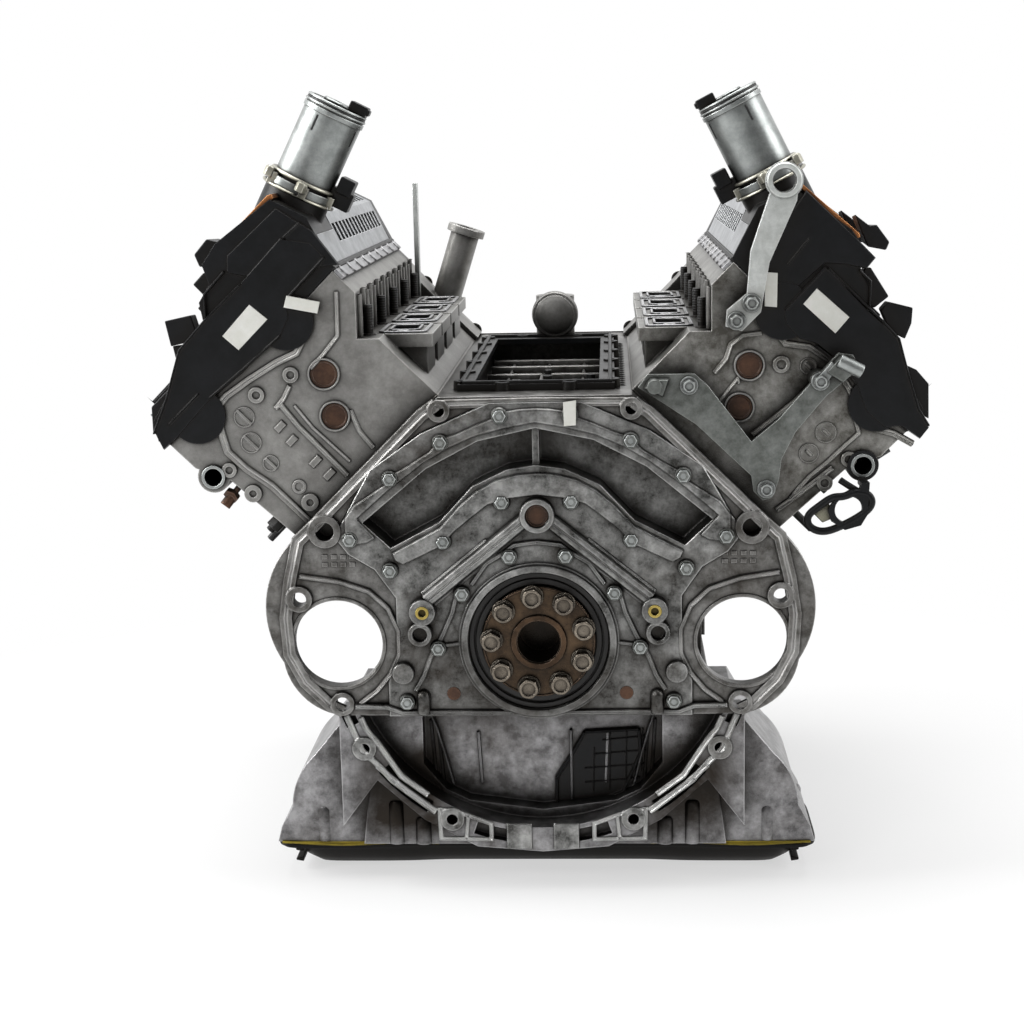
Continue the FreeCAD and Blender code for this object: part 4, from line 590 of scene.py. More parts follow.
# Plain raised blocks on the web above each starter hole, in two rows. The casting pattern
# left them.
mesh = bmesh.new()
for side in (1, -1):
    for row in range(2):
        for column in range(4):
            a = side * (165 + column * 8.2)
            b = 68 + row * 7
            slab(mesh, [(a - 3, b), (a + 3, b), (a + 3, b + 5), (a - 3, b + 5)], 0.5, -0.8,
                 draft=0.4)
piece("flange_cast_marks", mesh, "root", cast_block, bevel=0.0003)


# Rear end cover: a pressure cast lid that closes the crankcase, with raised bands along the
# arch, two round ribs that meet over the crank, and bosses for its screws.
mesh = bmesh.new()
arch_low = [(130, 82), (86, 105.2), (69, 124), (53.5, 137.4), (36, 147), (17, 151.8), (0, 153)]
band_low = [(0, 131), (23, 128.8), (42.2, 123.3), (57, 112), (71.1, 100.5), (84.8, 86.1),
            (106, 76), (119, 70), (127, 74)]
slab(mesh, arch_low + [(-a, b) for a, b in reversed(arch_low[:-1])]
     + [(-a, b) for a, b in reversed(band_low)] + band_low[1:], -2.5, -8.0, draft=1.6)
arch_high = [(158, 112.5), (130, 137), (99, 160.5), (76, 174), (52, 184.4), (26, 191), (0, 195.5)]
edge_high = [(0, 210), (12, 209.5), (30, 207), (40, 200.5), (52, 196), (70, 188), (84, 184.5),
             (93.6, 172.5), (113, 160.5), (128.4, 152), (134.2, 143.5), (161.5, 126), (171, 113.2),
             (171, 98), (166, 88), (150, 90), (142, 95)]
slab(mesh, arch_high + [(-a, b) for a, b in reversed(arch_high[:-1])]
     + [(-a, b) for a, b in reversed(edge_high)] + edge_high[1:], -2.5, -6.5, draft=1.4)
piece("arch_bands", mesh, "root", cast_cover, bevel=0.0012)

mesh = bmesh.new()
for line in both([(10, 111), (40, 86.5), (99, 38.5)]):
    ridge(mesh, line, 15, -2.0, -11.5, crown=0.62)
    ridge(mesh, line[1:], 20, -2.0, -5.0, crown=0.9)
for line in both([(59, 51.8), (45.4, 71.2), (31.9, 79), (20.3, 87.5), (0, 90)]):
    ridge(mesh, line, 5, -2.5, -6.5)
for line in both([(73, 41), (77, 26), (87, 4), (97, -14), (104, -32), (112, -46)]):
    ridge(mesh, line, 5, -2.5, -6.0)
for line in both([(66, -1.3), (86, -4)]):
    ridge(mesh, line, 4, -2.5, -6.5)
for line in both([(46, -50), (27, -65)]):
    ridge(mesh, line, 4, -2.5, -6.0)
for line in both([(167, -60.6), (138, -61), (124, -66), (0, -66.5)]):
    ridge(mesh, line, 5, -2.5, -7.0)
piece("cover_ribs", mesh, "root", cast_cover, bevel=0.0008)

mesh = bmesh.new()
ring(mesh, 0.5, 114.6, 16.2, 10.5, -2.0, -13.0, dish=-8.0, draft=1.0)
for spots in both([(103, 28.3, 12.5, 5.5, -13), (105.8, 7.9, 11.5, 6.5, -12),
                   (122.3, -29, 10.5, 0, -9), (89.5, -6, 7.5, 0, -7),
                   (68.4, 43.7, 7.5, 0, -7), (25.2, 77.4, 7.5, 0, -7)]):
    for a, b, outer, inner, front in spots:
        ring(mesh, a, b, outer, inner, -2.0, front, dish=-4.0 if inner else None, draft=0.8)
for spots in both([(30.7, 203), (83, 180), (128.5, 148.4), (166, 94), (131, 65.6),
                   (83, 91.5), (30.5, 126.5), (90, -6), (119.5, -56)]):
    for a, b in spots:
        ring(mesh, a, b, 8.2, 0, -2.0, -7.0, draft=1.0)
piece("cover_bosses", mesh, "root", cast_cover, bevel=0.0008)

# Foot bosses of the cover: two short upright cylinders, cast on its lower corners. Their
# lower ends lie in the sump joint.
def plan(a, b, level):
    """Points given across, along and up."""
    return Vector((a, b, level)) * MM


FOOT = -67
mesh = bmesh.new()
for a in (104.8, -104.8):
    skin(mesh, [around(mesh, plan, a, -4, radius, FOOT + rise, 20)
                for radius, rise in ((6.5, 0), (6.5, 16), (5.0, 20), (2.0, 22))])
piece("cover_foot_bosses", mesh, "root", cast_cover)

# Core plugs of the cover: shallow pressed steel cups with a film of rust, driven into drilled
# seats.
rusty_plug = finish_of("rusty_plug", (0.13, 0.065, 0.038), (0.055, 0.028, 0.018), 0.6, 0.42,
                       grain=0.3)
mesh = bmesh.new()
ring(mesh, 0.5, 114.6, 10.4, 8.6, -8.5, -9.6, dish=-8.6)
for a in (77.5, -77.5):
    ring(mesh, a, -49, 6.2, 0, -2.5, -3.4)
piece("cover_plugs", mesh, "root", rusty_plug, bevel=0.0004)

# Brass inserts: turned sleeves that are pressed into the upper of each pair of bosses beside
# the crank.
brass = finish_of("brass_insert", (0.55, 0.42, 0.12), (0.35, 0.26, 0.07), 0.9, 0.3, grain=0.1)
mesh = bmesh.new()
for a in (103, -103):
    ring(mesh, a, 28.3, 6.0, 3.4, -4.5, -13.6, dish=-9.0)
piece("brass_inserts", mesh, "root", brass, bevel=0.0004)


# Screws of the crank flange: nine forged hexagon heads on thick washer faces, dark with oil.
# They would hold the flywheel, and stand on one circle round the pilot bore.
FLANGE_CIRCLE = 42
FLANGE_SCREWS = 9


def hex_head(mesh, a, b, across, back, front, place=rear, turn=0.0, washer=0.0, hollow=False):
    """A hexagon head with chamfered corners. It may have a washer face, and a hollow on top."""
    flat = across / 2
    corner = flat / math.cos(math.pi / 6)
    tall = front - back
    rows = []
    steps = 24
    shares = ((0.0, 0), (0.78, 0), (0.93, 1), (1.0, 2), (1.0, 3), (0.8, 3))
    for share, kind in shares if hollow else shares[:-1]:
        row = []
        for step in range(steps):
            angle = step * math.tau / steps
            into = (angle + math.pi / 6) % (math.pi / 3) - math.pi / 6
            reach = flat / math.cos(into)
            if kind == 1:
                reach = min(reach, corner * 0.955)
            if kind == 2:
                reach = min(reach, flat * 0.99)
            if kind == 3:
                reach = flat * 0.74
            level = back + tall * share
            row.append(mesh.verts.new(place(a + reach * math.cos(angle + turn),
                                            b + reach * math.sin(angle + turn), level)))
        rows.append(row)
    skin(mesh, rows)
    if washer:
        ring(mesh, a, b, washer, 0, back, back + tall * 0.2, place=place, draft=0.4)


# Their edges get the strongest painted highlight.
screw_steel = finish_of("screw_steel", (0.30, 0.26, 0.21), (0.11, 0.095, 0.078), 0.95, 0.24,
                        edge_highlight_and_wear=1.0, edge=0.0009, stain=(0.03, 0.018, 0.01), stain_amount=0.5)
mesh = bmesh.new()
for number in range(FLANGE_SCREWS):
    angle = math.radians(97) + math.tau / FLANGE_SCREWS * number
    a = FLANGE_CIRCLE * math.cos(angle)
    b = FLANGE_CIRCLE * math.sin(angle)
    hex_head(mesh, a, b, 16.4, -8.3, -19.5, turn=angle * 1.7, washer=10.6, hollow=True)
screws = piece("crank_flange_screws", mesh, "crank", screw_steel, bevel=0.0004, smooth=28)
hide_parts("crank_flange_bolts")

# Turned steps of the crank flange: the pilot bore's lip, and the rim that the seal runs on.
# Both are cut in the forged crankshaft.
# Its edges get a strong painted highlight.
forged = finish_of("forged_steel", (0.13, 0.078, 0.045), (0.04, 0.026, 0.017), 0.9, 0.22,
                   edge_highlight_and_wear=0.9, stain=(0.02, 0.012, 0.008), stain_amount=0.6, grain=0.15)
mesh = bmesh.new()
ring(mesh, 0, 0, 25.5, 19.8, -7.5, -10.5, steps=72, draft=0.8)
ring(mesh, 0, 0, 50.2, 48.6, -7.5, -9.2, steps=96, draft=0.4)
piece("crank_flange_steps", mesh, "crank", forged, bevel=0.0004)

# Seal carrier: a turned ring that is pressed into the cover. It holds the two rubber lips
# that run on the crank flange.
mesh = bmesh.new()
ring(mesh, 0, 0, 70.5, 63.2, -5.5, -9.0, steps=96, draft=1.4)
piece("seal_carrier", mesh, "root", cast_cover, bevel=0.0006)
mesh = bmesh.new()
ring(mesh, 0, 0, 63.0, 58.0, 0.5, -4.4, steps=96, draft=0.8)
ring(mesh, 0, 0, 57.0, 51.4, 0.5, -2.6, steps=96, draft=0.8)
piece("seal_lips", mesh, "root", black_rubber, bevel=0.0003)

# Washers and hollow tops of the rear cover's screws: plated steel heads, pressed with a wide
# washer under the hexagon.
mesh = bmesh.new()
for spots in both([(30.7, 202.7), (83, 180), (128.4, 148.4), (166, 94), (131, 65.6), (83, 91.7),
                   (30.5, 126.5), (90, -6), (119.5, -56), (67.6, 43.8), (24.8, 77.4)]):
    for a, b in spots:
        ring(mesh, a, b, 7.3, 0, -6.5, -7.9, draft=0.5)
        ring(mesh, a, b, 4.1, 2.9, -9.5, -10.5, dish=-9.7, draft=0.3)
piece("screw_washers", mesh, "root", plate_steel, bevel=0.0003)


# Rear ends of the two cylinder heads: sand cast aluminium with a machined band round the
# cover joint, core plugs, drilled bosses, ribs and the pads and rings of the casting pattern.
def bank_rear(side):
    """Places points of a head's rear end: across the bank, up the bank, along the engine."""
    def place(across, up, y):
        return Vector((side * (up + across) * TURN, y, (up - across) * TURN)) * MM
    return place


def screw_hole(mesh, a, b, outer, inner, level, rise, place, depth=2.2):
    """A boss with a drilled hole, seen end on."""
    ring(mesh, a, b, outer, inner, level + 1, level - rise, place=place,
         dish=level - rise + depth, draft=0.6)


def oblong(a, b, half_across, half_up):
    """The outline of an upright oblong about a centre."""
    return [(a - half_across, b - half_up), (a + half_across, b - half_up),
            (a + half_across, b + half_up), (a - half_across, b + half_up)]


HEAD_FACE = {1: 30.0, -1: 12.0}
left_bank = bank_rear(-1)
right_bank = bank_rear(1)

mesh = bmesh.new()
level = HEAD_FACE[-1]
for line, width, rise, crown in (
        ([(-63.7, 350.6), (-51.3, 335.9), (-35.1, 330.6), (-16.3, 337.9), (10.3, 344.6),
          (35.8, 349.5), (48.1, 349.1), (61.7, 333.8), (72.6, 315.0), (72.2, 292.9),
          (67.6, 266.1), (67.7, 219.2)], 7.5, 2.6, 0.75),
        ([(-99.4, 341.6), (-71.9, 314.6), (-51.1, 312.6), (-34.1, 312.4)], 4.5, 2.8, 0.45),
        ([(-9.8, 315.3), (2.2, 311.4), (13.9, 310.6)], 5, 2.8, 0.45),
        ([(8.2, 310.1), (11.3, 284.9), (12.0, 261.7), (13.2, 223.9)], 5.5, 2.4, 0.6),
        ([(0.3, 300.5), (3.4, 275.3), (2.5, 231.0)], 3.5, 2.0, 0.45),
        ([(-31.2, 262.1), (-23.2, 243.5), (-21.2, 224.6)], 5, 2.0, 0.45),
        ([(67.9, 216.3), (36.0, 217.1), (6.0, 216.5)], 6, 2.6, 0.45)):
    ridge(mesh, line, width, level + 0.5, level - rise, place=left_bank, crown=crown)
for a, b, outer, inner in ((-17.7, 321.1, 7.6, 3.6), (16.8, 330.9, 7.8, 3.6),
                           (83.5, 303.0, 7.2, 3.4), (84.3, 273.5, 8.4, 3.2),
                           (54.4, 231.4, 8.6, 3.2)):
    screw_hole(mesh, a, b, outer, inner, level, 3.2, left_bank)
for a, b, reach in ((39.1, 325.5, 9.5), (51.8, 305.7, 9.5), (53.2, 280.6, 7.5)):
    ring(mesh, a, b, reach, reach - 1.3, level + 0.5, level - 1.0, place=left_bank,
         dish=level - 0.25)
    slab(mesh, oblong(a, b, 2, reach), level + 0.5, level - 2.0, place=left_bank, draft=0.7)
for a, b, reach in ((22.9, 296.8, 6), (24.9, 280.9, 6), (24.0, 253.0, 6.5), (23.8, 236.3, 6.5)):
    slab(mesh, oblong(a, b, reach, 4), level + 0.5, level - 2.0, place=left_bank, draft=1.2)
ring(mesh, 51.0, 248.1, 6.5, 3.8, level + 0.5, level - 1.4, place=left_bank, dish=level - 0.25)
piece("left_head_casting", mesh, "root", cast_head, bevel=0.0007)

mesh = bmesh.new()
level = HEAD_FACE[1]
for line, width, rise, crown in (
        ([(-62.0, 354.2), (-45.9, 341.2), (-27.5, 337.4), (-10.8, 349.8), (8.6, 353.7),
          (36.0, 349.8), (57.6, 343.2), (81.6, 338.7), (97.1, 347.9), (115.8, 352.9)],
         6.5, 2.6, 0.75),
        ([(41.7, 349.5), (55.5, 338.2), (75.3, 326.7), (74.4, 312.6), (73.9, 290.0),
          (71.9, 268.7), (73.7, 243.7)], 4.5, 2.6, 0.45),
        ([(-53.4, 276.2), (-54.8, 292.2), (-60.7, 303.8), (-59.2, 316.8), (-48.8, 329.7)],
         5, 2.2, 0.45),
        ([(-32.7, 261.3), (-35.6, 287.6), (-31.2, 284.6)], 3.5, 2.4, 0.45),
        ([(9.0, 260.8), (11.9, 281.2), (14.8, 307.4), (14.6, 333.4)], 4.5, 3.0, 0.45),
        ([(72.4, 227.4), (76.6, 252.5), (80.7, 289.2)], 6, 2.6, 0.7)):
    ridge(mesh, line, width, level + 0.5, level - rise, place=right_bank, crown=crown)
for a, b, outer, inner in ((-17.0, 322.2, 8.2, 4.2), (85.4, 304.2, 7.6, 3.6),
                           (85.5, 274.6, 7.6, 3.6), (-64.9, 256.4, 7.0, 3.4),
                           (-73.6, 342.1, 8.5, 3.0)):
    screw_hole(mesh, a, b, outer, inner, level, 3.0, right_bank)
for a, b, reach in ((54.1, 307.0, 9.5), (56.7, 283.6, 9.0), (1.0, 337.6, 7.5)):
    ring(mesh, a, b, reach, reach - 1.3, level + 0.5, level - 1.0, place=right_bank,
         dish=level - 0.25)
    slab(mesh, oblong(a, b, 4, 1.6), level + 0.5, level - 2.0, place=right_bank, draft=0.6)
piece("right_head_casting", mesh, "root", oily_head, bevel=0.0007)

# Core plugs of the heads: rusty pressed cups, two on each rear end. Each is driven into a
# drilled seat with a turned lip.
mesh = bmesh.new()
lips = bmesh.new()
for side, spots in ((-1, ((-38.5, 300.5, 12.6), (-18.0, 268.2, 12.0))),
                    (1, ((-36.2, 302.1, 12.0), (-16.3, 269.9, 11.8)))):
    place = bank_rear(side)
    level = HEAD_FACE[side]
    for a, b, radius in spots:
        ring(lips, a, b, radius + 2.6, radius, level + 0.5, level - 3.0, place=place,
             dish=level - 0.25, draft=0.9)
        ring(mesh, a, b, radius - 0.2, radius - 2.0, level - 0.2, level - 1.2, place=place,
             dish=level - 0.4)
piece("head_core_plugs", mesh, "root", rusty_plug, bevel=0.0004)
piece("head_plug_lips", lips, "root", cast_head)


# Head covers: glossy black injection mouldings. Each has raised panels over the chain end and
# stiffening ribs, and is screwed to its head all round.
mesh = bmesh.new()
level = HEAD_FACE[-1]
for outline, rise, draft in (
        ([(-54.5, 407.1), (-1.6, 407.9), (34.1, 406.5), (69.5, 389.6), (105.5, 372.8),
          (111.3, 357.1), (91.6, 355.5), (84.8, 356.0), (48.2, 357.3), (10.6, 352.6),
          (-11.7, 353.3), (-35.2, 349.6), (-54.5, 356.0), (-62.9, 367.8), (-96.4, 366.5),
          (-114.5, 368.8), (-114.9, 386.3), (-99.6, 408.0)], 4.2, 0.9),
        ([(-115.9, 428.4), (-55.9, 431.7), (-44.6, 421.7), (-55.9, 404.2), (-105.0, 404.7),
          (-121.1, 402.9)], 2.2, 0.9),
        ([(-121.2, 405.7), (-101.7, 405.8), (-100.1, 369.9), (-118.5, 355.1),
          (-123.7, 391.6)], 3.0, 1.0)):
    slab(mesh, outline, level + 0.5, level - rise, place=left_bank, draft=draft)
for line, width, rise in (
        ([(-44.0, 423.8), (-17.4, 423.1), (-3.1, 408.7)], 2.4, 6.5),
        ([(-46.2, 406.0), (-1.2, 407.6), (34.4, 406.3), (74.4, 385.8), (105.5, 373.4)],
         2.6, 6.8),
        ([(-113.8, 368.7), (-68.0, 368.3)], 2.2, 7.0),
        ([(51.6, 368.2), (90.2, 369.1)], 2.2, 7.0),
        ([(-36.7, 350.9), (8.3, 354.7), (46.7, 358.7)], 2.2, 6.0),
        ([(-121.1, 404.3), (-101.0, 406.0)], 2.2, 4.5)):
    ridge(mesh, line, width, level + 0.5, level - rise, place=left_bank)
piece("left_cover_ribs", mesh, "root", black_plastic, bevel=0.0008)

mesh = bmesh.new()
level = HEAD_FACE[1]
for outline, rise in (
        ([(-50.5, 409.1), (2.5, 407.9), (38.6, 409.9), (65.3, 394.1), (96.3, 377.8),
          (115.4, 373.1), (117.1, 360.1), (97.0, 356.6), (87.4, 345.8), (65.1, 344.6),
          (41.9, 355.6), (17.0, 358.3), (-8.3, 355.9), (-21.6, 348.9), (-40.0, 349.7),
          (-49.9, 357.2)], 4.2),
        ([(-108.6, 442.7), (-47.8, 444.0), (-24.3, 443.7), (-23.1, 431.3), (-38.4, 422.2),
          (-52.3, 410.2), (-56.1, 359.8), (-86.7, 370.0), (-99.6, 391.4)], 2.2)):
    slab(mesh, outline, level + 0.5, level - rise, place=right_bank, draft=0.9)
for line, width, rise in (
        ([(-47.9, 408.8), (19.0, 409.5), (40.0, 408.5), (65.3, 394.1), (96.3, 377.8),
          (113.2, 373.8)], 2.6, 6.8),
        ([(-50.1, 408.1), (-48.8, 358.4)], 2.4, 6.2),
        ([(-26.8, 426.4), (-13.6, 426.3), (1.1, 410.7)], 2.4, 6.0),
        ([(-77.7, 415.3), (-75.0, 387.0)], 1.8, 4.4),
        ([(-6.9, 354.5), (17.5, 357.9), (41.9, 355.6)], 2.2, 6.0)):
    ridge(mesh, line, width, level + 0.5, level - rise, place=right_bank)
piece("right_cover_ribs", mesh, "root", black_plastic, bevel=0.0008)

# Coil housings: stepped black mouldings on the outer slope of each cover, one set over each
# cylinder. They are one with the cover.
BORE_PITCH = 98.0
left_housings = (
    ([(-50.3, 456.4), (-32.4, 455.2), (-27.7, 444.5), (-44.1, 429.4), (-58.4, 442.2)], 30, 74),
    ([(-27.5, 438.0), (-13.4, 437.8), (-12.9, 421.9), (-32.6, 410.9), (-42.5, 422.5)], 24, 50),
    ([(-13.3, 420.6), (-1.1, 420.7), (-1.5, 407.3), (-17.6, 400.1), (-23.7, 408.4)], 22, 64))
right_housings = (
    ([(-62.3, 458.0), (-45.6, 460.1), (-42.0, 465.0), (-23.1, 462.2), (-20.2, 455.2),
      (-34.0, 446.1)], 46, 88),
    ([(-23.8, 430.6), (-20.2, 435.5), (9.5, 428.8), (7.7, 412.9), (-6.3, 407.9)], 40, 66))
mesh = bmesh.new()
for number in range(4):
    shift = number * BORE_PITCH
    for housings, place in ((left_housings, left_bank), (right_housings, right_bank)):
        for outline, near, far in housings:
            slab(mesh, outline, near + shift, far + shift, place=place, draft=1.5)
piece("coil_housings", mesh, "root", black_plastic, bevel=0.0012)

# Cam sensor plugs on the covers' outer edge, and the lower corner brackets: black mouldings
# that are clipped and screwed to the covers.
left_plugs = (
    ([(27.3, 434.2), (7.1, 420.9), (15.1, 406.3), (24.1, 405.0), (40.1, 415.1)], 20, 44, 1.2),
    ([(39.8, 414.8), (30.4, 407.1), (35.1, 400.1), (48.0, 402.5)], 24, 40, 1.0),
    ([(91.7, 391.6), (69.6, 391.2), (73.1, 384.4), (104.6, 371.9), (109.4, 373.8)],
     16, 40, 1.0))
right_plugs = (
    ([(12.3, 425.3), (31.4, 436.4), (40.5, 426.1), (46.3, 412.6), (31.9, 407.8),
      (13.1, 415.2)], 40, 64, 1.2),
    ([(62.7, 397.4), (72.2, 400.8), (88.8, 399.6), (111.5, 378.0), (103.4, 376.0)],
     36, 60, 1.2))
mesh = bmesh.new()
for plugs, place in ((left_plugs, left_bank), (right_plugs, right_bank)):
    for outline, near, far, draft in plugs:
        slab(mesh, outline, near, far, place=place, draft=draft)
piece("sensor_plugs", mesh, "root", black_plastic, bevel=0.001)

# Copper shims: thin sheet strips that stand between each cover and the foot of its lift
# motor.
copper = finish_of("copper_shim", (0.62, 0.25, 0.08), (0.35, 0.13, 0.05), 0.85, 0.35, grain=0.2)
mesh = bmesh.new()
slab(mesh, [(-47.3, 442.7), (-50.1, 439.8), (-120.1, 435.5), (-121.4, 439.3), (-118.0, 441.1)],
     14, 120, place=left_bank)
slab(mesh, [(-113.6, 444.2), (-113.2, 441.0), (-47.5, 443.7), (-46.4, 446.8), (-49.6, 448.5)],
     32, 138, place=right_bank)
piece("copper_shims", mesh, "root", copper, bevel=0.0004)

# Blank paper labels stuck on the covers, and three small blank paper tags stuck on the heads
# and the flange.
paper = finish_of("paper_label", (0.80, 0.80, 0.76), (0.70, 0.70, 0.64), 0.0, 0.6, grain=0.1,
                  corner_shade_and_dirt=0, edge_highlight_and_wear=0)
mesh = bmesh.new()
slab(mesh, [(-1.6, 387.2), (-38.6, 388.6), (-40.2, 368.5), (-2.5, 368.6)], 9.0, 7.6,
     place=left_bank)
slab(mesh, [(-42.6, 390.0), (-4.5, 392.0), (-3.2, 373.8), (-41.3, 372.4)], 27.0, 25.6,
     place=right_bank)
piece("cover_labels", mesh, "root", paper, bevel=0)
mesh = bmesh.new()
slab(mesh, [(-67.6, 370.2), (-83.9, 345.4), (-74.9, 340.2), (-58.3, 365.0)], 5.2, 4.6,
     place=left_bank)
slab(mesh, [(-85.0, 368.9), (-76.6, 375.8), (-56.1, 354.7), (-64.3, 347.9)], 23.0, 22.4,
     place=right_bank)
slab(mesh, [(25.1, 214.9), (36.4, 216.5), (36.0, 194.7), (25.6, 194.0)], -11, -11.5)
piece("paper_tags", mesh, "root", paper, bevel=0)


# Lift motors: a drawn zinc plated can in a clamp ring, with a crimped end plate, a black
# connector at the top and a cable socket on the valley side. They turn the eccentric shafts.
MOTOR_LEAN = math.radians(72)
MOTOR_SEAT = (-126, 427)
MOTOR_START = 60


def on_motor(side):
    """Places points about a motor: across its axis, along the engine, and up from its seat."""
    lean_across = -math.sin(MOTOR_LEAN)
    lean_up = math.cos(MOTOR_LEAN)

    def place(across, y, height):
        return bank_rear(side)(MOTOR_SEAT[0] + height * lean_across + across * lean_up,
                               MOTOR_SEAT[1] + height * lean_up - across * lean_across,
                               HEAD_FACE[side] + MOTOR_START + y)
    return place


def turned_ring(mesh, radius, inner, low, high, place, steps=48, round_off=0.0):
    """A turned band round a motor, between two heights."""
    profile = ((inner, low), (radius - round_off, low), (radius, low + round_off),
               (radius, high - round_off), (radius - round_off, high), (inner, high))
    loops = [around(mesh, place, 0, 0, reach, level, steps) for reach, level in profile]
    skin(mesh, loops + loops[:1], capped=False)


def block(mesh, place, low, high):
    """A small block between two corners of a piece's own frame."""
    outline = ((low[0], low[1]), (high[0], low[1]), (high[0], high[1]), (low[0], high[1]))
    skin(mesh, [[mesh.verts.new(place(a, b, level)) for a, b in outline]
                for level in (low[2], high[2])])


def on_circle(radius, degrees):
    """A point on a circle about a piece's own axis."""
    return radius * math.cos(math.radians(degrees)), radius * math.sin(math.radians(degrees))


bright_zinc = finish_of("bright_zinc", (0.62, 0.60, 0.50), (0.40, 0.39, 0.33), 0.9, 0.3,
                        grain=0.1)
crimps = bmesh.new()
clamps = bmesh.new()
sockets = bmesh.new()
seams = bmesh.new()
for side in (1, -1):
    place = on_motor(side)
    turned_ring(crimps, 28.6, 24, 84.2, 86.6, place, round_off=0.8)
    turned_ring(crimps, 27.9, 24, 88.2, 90.6, place, round_off=0.8)
    turned_ring(crimps, 14, 5, 90, 93.0, place, round_off=1.0)
    turned_ring(seams, 27.6, 20, 86.6, 88.2, place)
    turned_ring(seams, 27.5, 20, 13.2, 15.4, place)
    turned_ring(clamps, 31.6, 26, 15.4, 19.0, place, round_off=1.2)
    turned_ring(clamps, 34.5, 26, 3.0, 6.0, place, round_off=1.0)
    for turn in (200, 255, 318, 20, 80, 140):
        a, y = on_circle(31.5, turn)
        block(clamps, place, (a - 3.6, y - 3.6, 4), (a + 3.6, y + 3.6, 15))
    for turn in (262, 322):
        a, y = on_circle(35, turn)
        skin(clamps, [around(clamps, place, a, y, reach, level, 6)
                      for reach, level in ((5.4, 9), (5.4, 16), (4.2, 18))])
    block(sockets, place, (-27, -9, 90.4), (-10, 9, 99.5))
    block(sockets, place, (-29, -6, 92.5), (-25, 6, 98))
    block(sockets, place, (-47, -8, 8), (-26, 9, 25))
    block(sockets, place, (-44, -11, 21), (-30, 11, 36))
    # Long press marks and the folded seam of the can
    for turn in (200, 290, 20, 110):
        a, y = on_circle(26.6, turn)
        block(seams, place, (a - 0.9, y - 0.9, 62), (a + 0.9, y + 0.9, 76))
piece("motor_crimps", crimps, "root", zinc_steel, bevel=0)
piece("motor_clamps", clamps, "root", bright_zinc, bevel=0.0008)
piece("motor_sockets", sockets, "root", black_plastic, bevel=0.0012)
piece("motor_seams", seams, "root", dark_steel, bevel=0)


# Intake side of the heads: the wall under the cover has a machined rail along its top and
# cast ribs down to the port flanges. Each port has a milled lip, drilled at both ends.
INTAKE_WALL = 155
PORT_FACE = 270
FIRST_PORT = 82


def wall_place(side):
    """Places points on a head's intake wall: along the engine, up, and out from the wall."""
    def place(along, up, out):
        return Vector((side * (INTAKE_WALL - out), along, up)) * MM
    return place


def flange_place(side):
    """Places points on the intake flanges: across, along the engine, and level."""
    def place(across, along, level):
        return Vector((side * across, along, level)) * MM
    return place


def cut_corners(a, b, half_across, half_along, cut, cut_along=None):
    """A closed line round an oblong whose corners are cut off."""
    cut_along = cut if cut_along is None else cut_along
    line = [(-half_across, cut_along - half_along), (cut - half_across, -half_along),
            (half_across - cut, -half_along), (half_across, cut_along - half_along),
            (half_across, half_along - cut_along), (half_across - cut, half_along),
            (cut - half_across, half_along), (-half_across, half_along - cut_along)]
    return [(a + across, b + along) for across, along in line + line[:1]]


intake_bright = finish_of("intake_bright", (0.50, 0.50, 0.51), (0.30, 0.30, 0.31), 0.85, 0.32,
                          stain=(0.12, 0.10, 0.05), stain_amount=0.4)
walls = bmesh.new()
rails = bmesh.new()
seals = bmesh.new()
lips = bmesh.new()
for side in (1, -1):
    start = HEAD_FACE[side]
    bank = bank_rear(side)
    wall = wall_place(side)
    for step in range(18):
        along = start + 14 + step * 24.4
        tall = 312 if step % 2 else 308
        ridge(walls, [(along, 270.5), (along + 1.5, 290), (along, tall)], 7, -0.6, 4.2,
              place=wall, crown=0.5)
    slab(rails, [(-113.5, 345), (-109.5, 345), (-109.5, 355.6), (-113.5, 355.6)],
         start + 0.4, start + 443, place=bank)
    slab(seals, [(-113.9, 355.8), (-109.8, 355.8), (-110.0, 358.2), (-113.9, 358.2)],
         start + 0.2, start + 443, place=bank)
    for step in range(9):
        along = start + 18 + step * 50
        ring(rails, along, 350.5, 6.5, 0, -112.8, -115.4,
             place=lambda a, b, level, bank=bank: bank(level, b, a), draft=0.8)
    top = flange_place(side)
    for number in range(4):
        middle = start + FIRST_PORT + BORE_PITCH * number
        outline = cut_corners(120, middle, 20, 36, 4)
        ridge(lips, outline, 3.6, PORT_FACE - 0.4, PORT_FACE + 2.0, place=top, crown=0.8)
        inner = cut_corners(120, middle, 13, 22, 3, 4)
        ridge(lips, inner, 2.6, PORT_FACE - 0.4, PORT_FACE + 2.4, place=top, crown=0.8)
        for along in (middle - 30, middle + 30):
            ring(lips, 120, along, 5.6, 3.2, PORT_FACE - 0.4, PORT_FACE + 2.2, place=top,
                 dish=PORT_FACE + 0.3)
        for along in (middle - 41, middle + 41):
            ridge(lips, [(96, along), (152, along)], 4, PORT_FACE - 8, PORT_FACE + 0.4, place=top)
piece("intake_wall_ribs", walls, "root", cast_head, bevel=0.0008)
piece("cover_rails", rails, "root", intake_bright, bevel=0.0008)
piece("cover_seals", seals, "root", black_rubber, bevel=0)
piece("port_lips", lips, "root", intake_bright, bevel=0.0004)

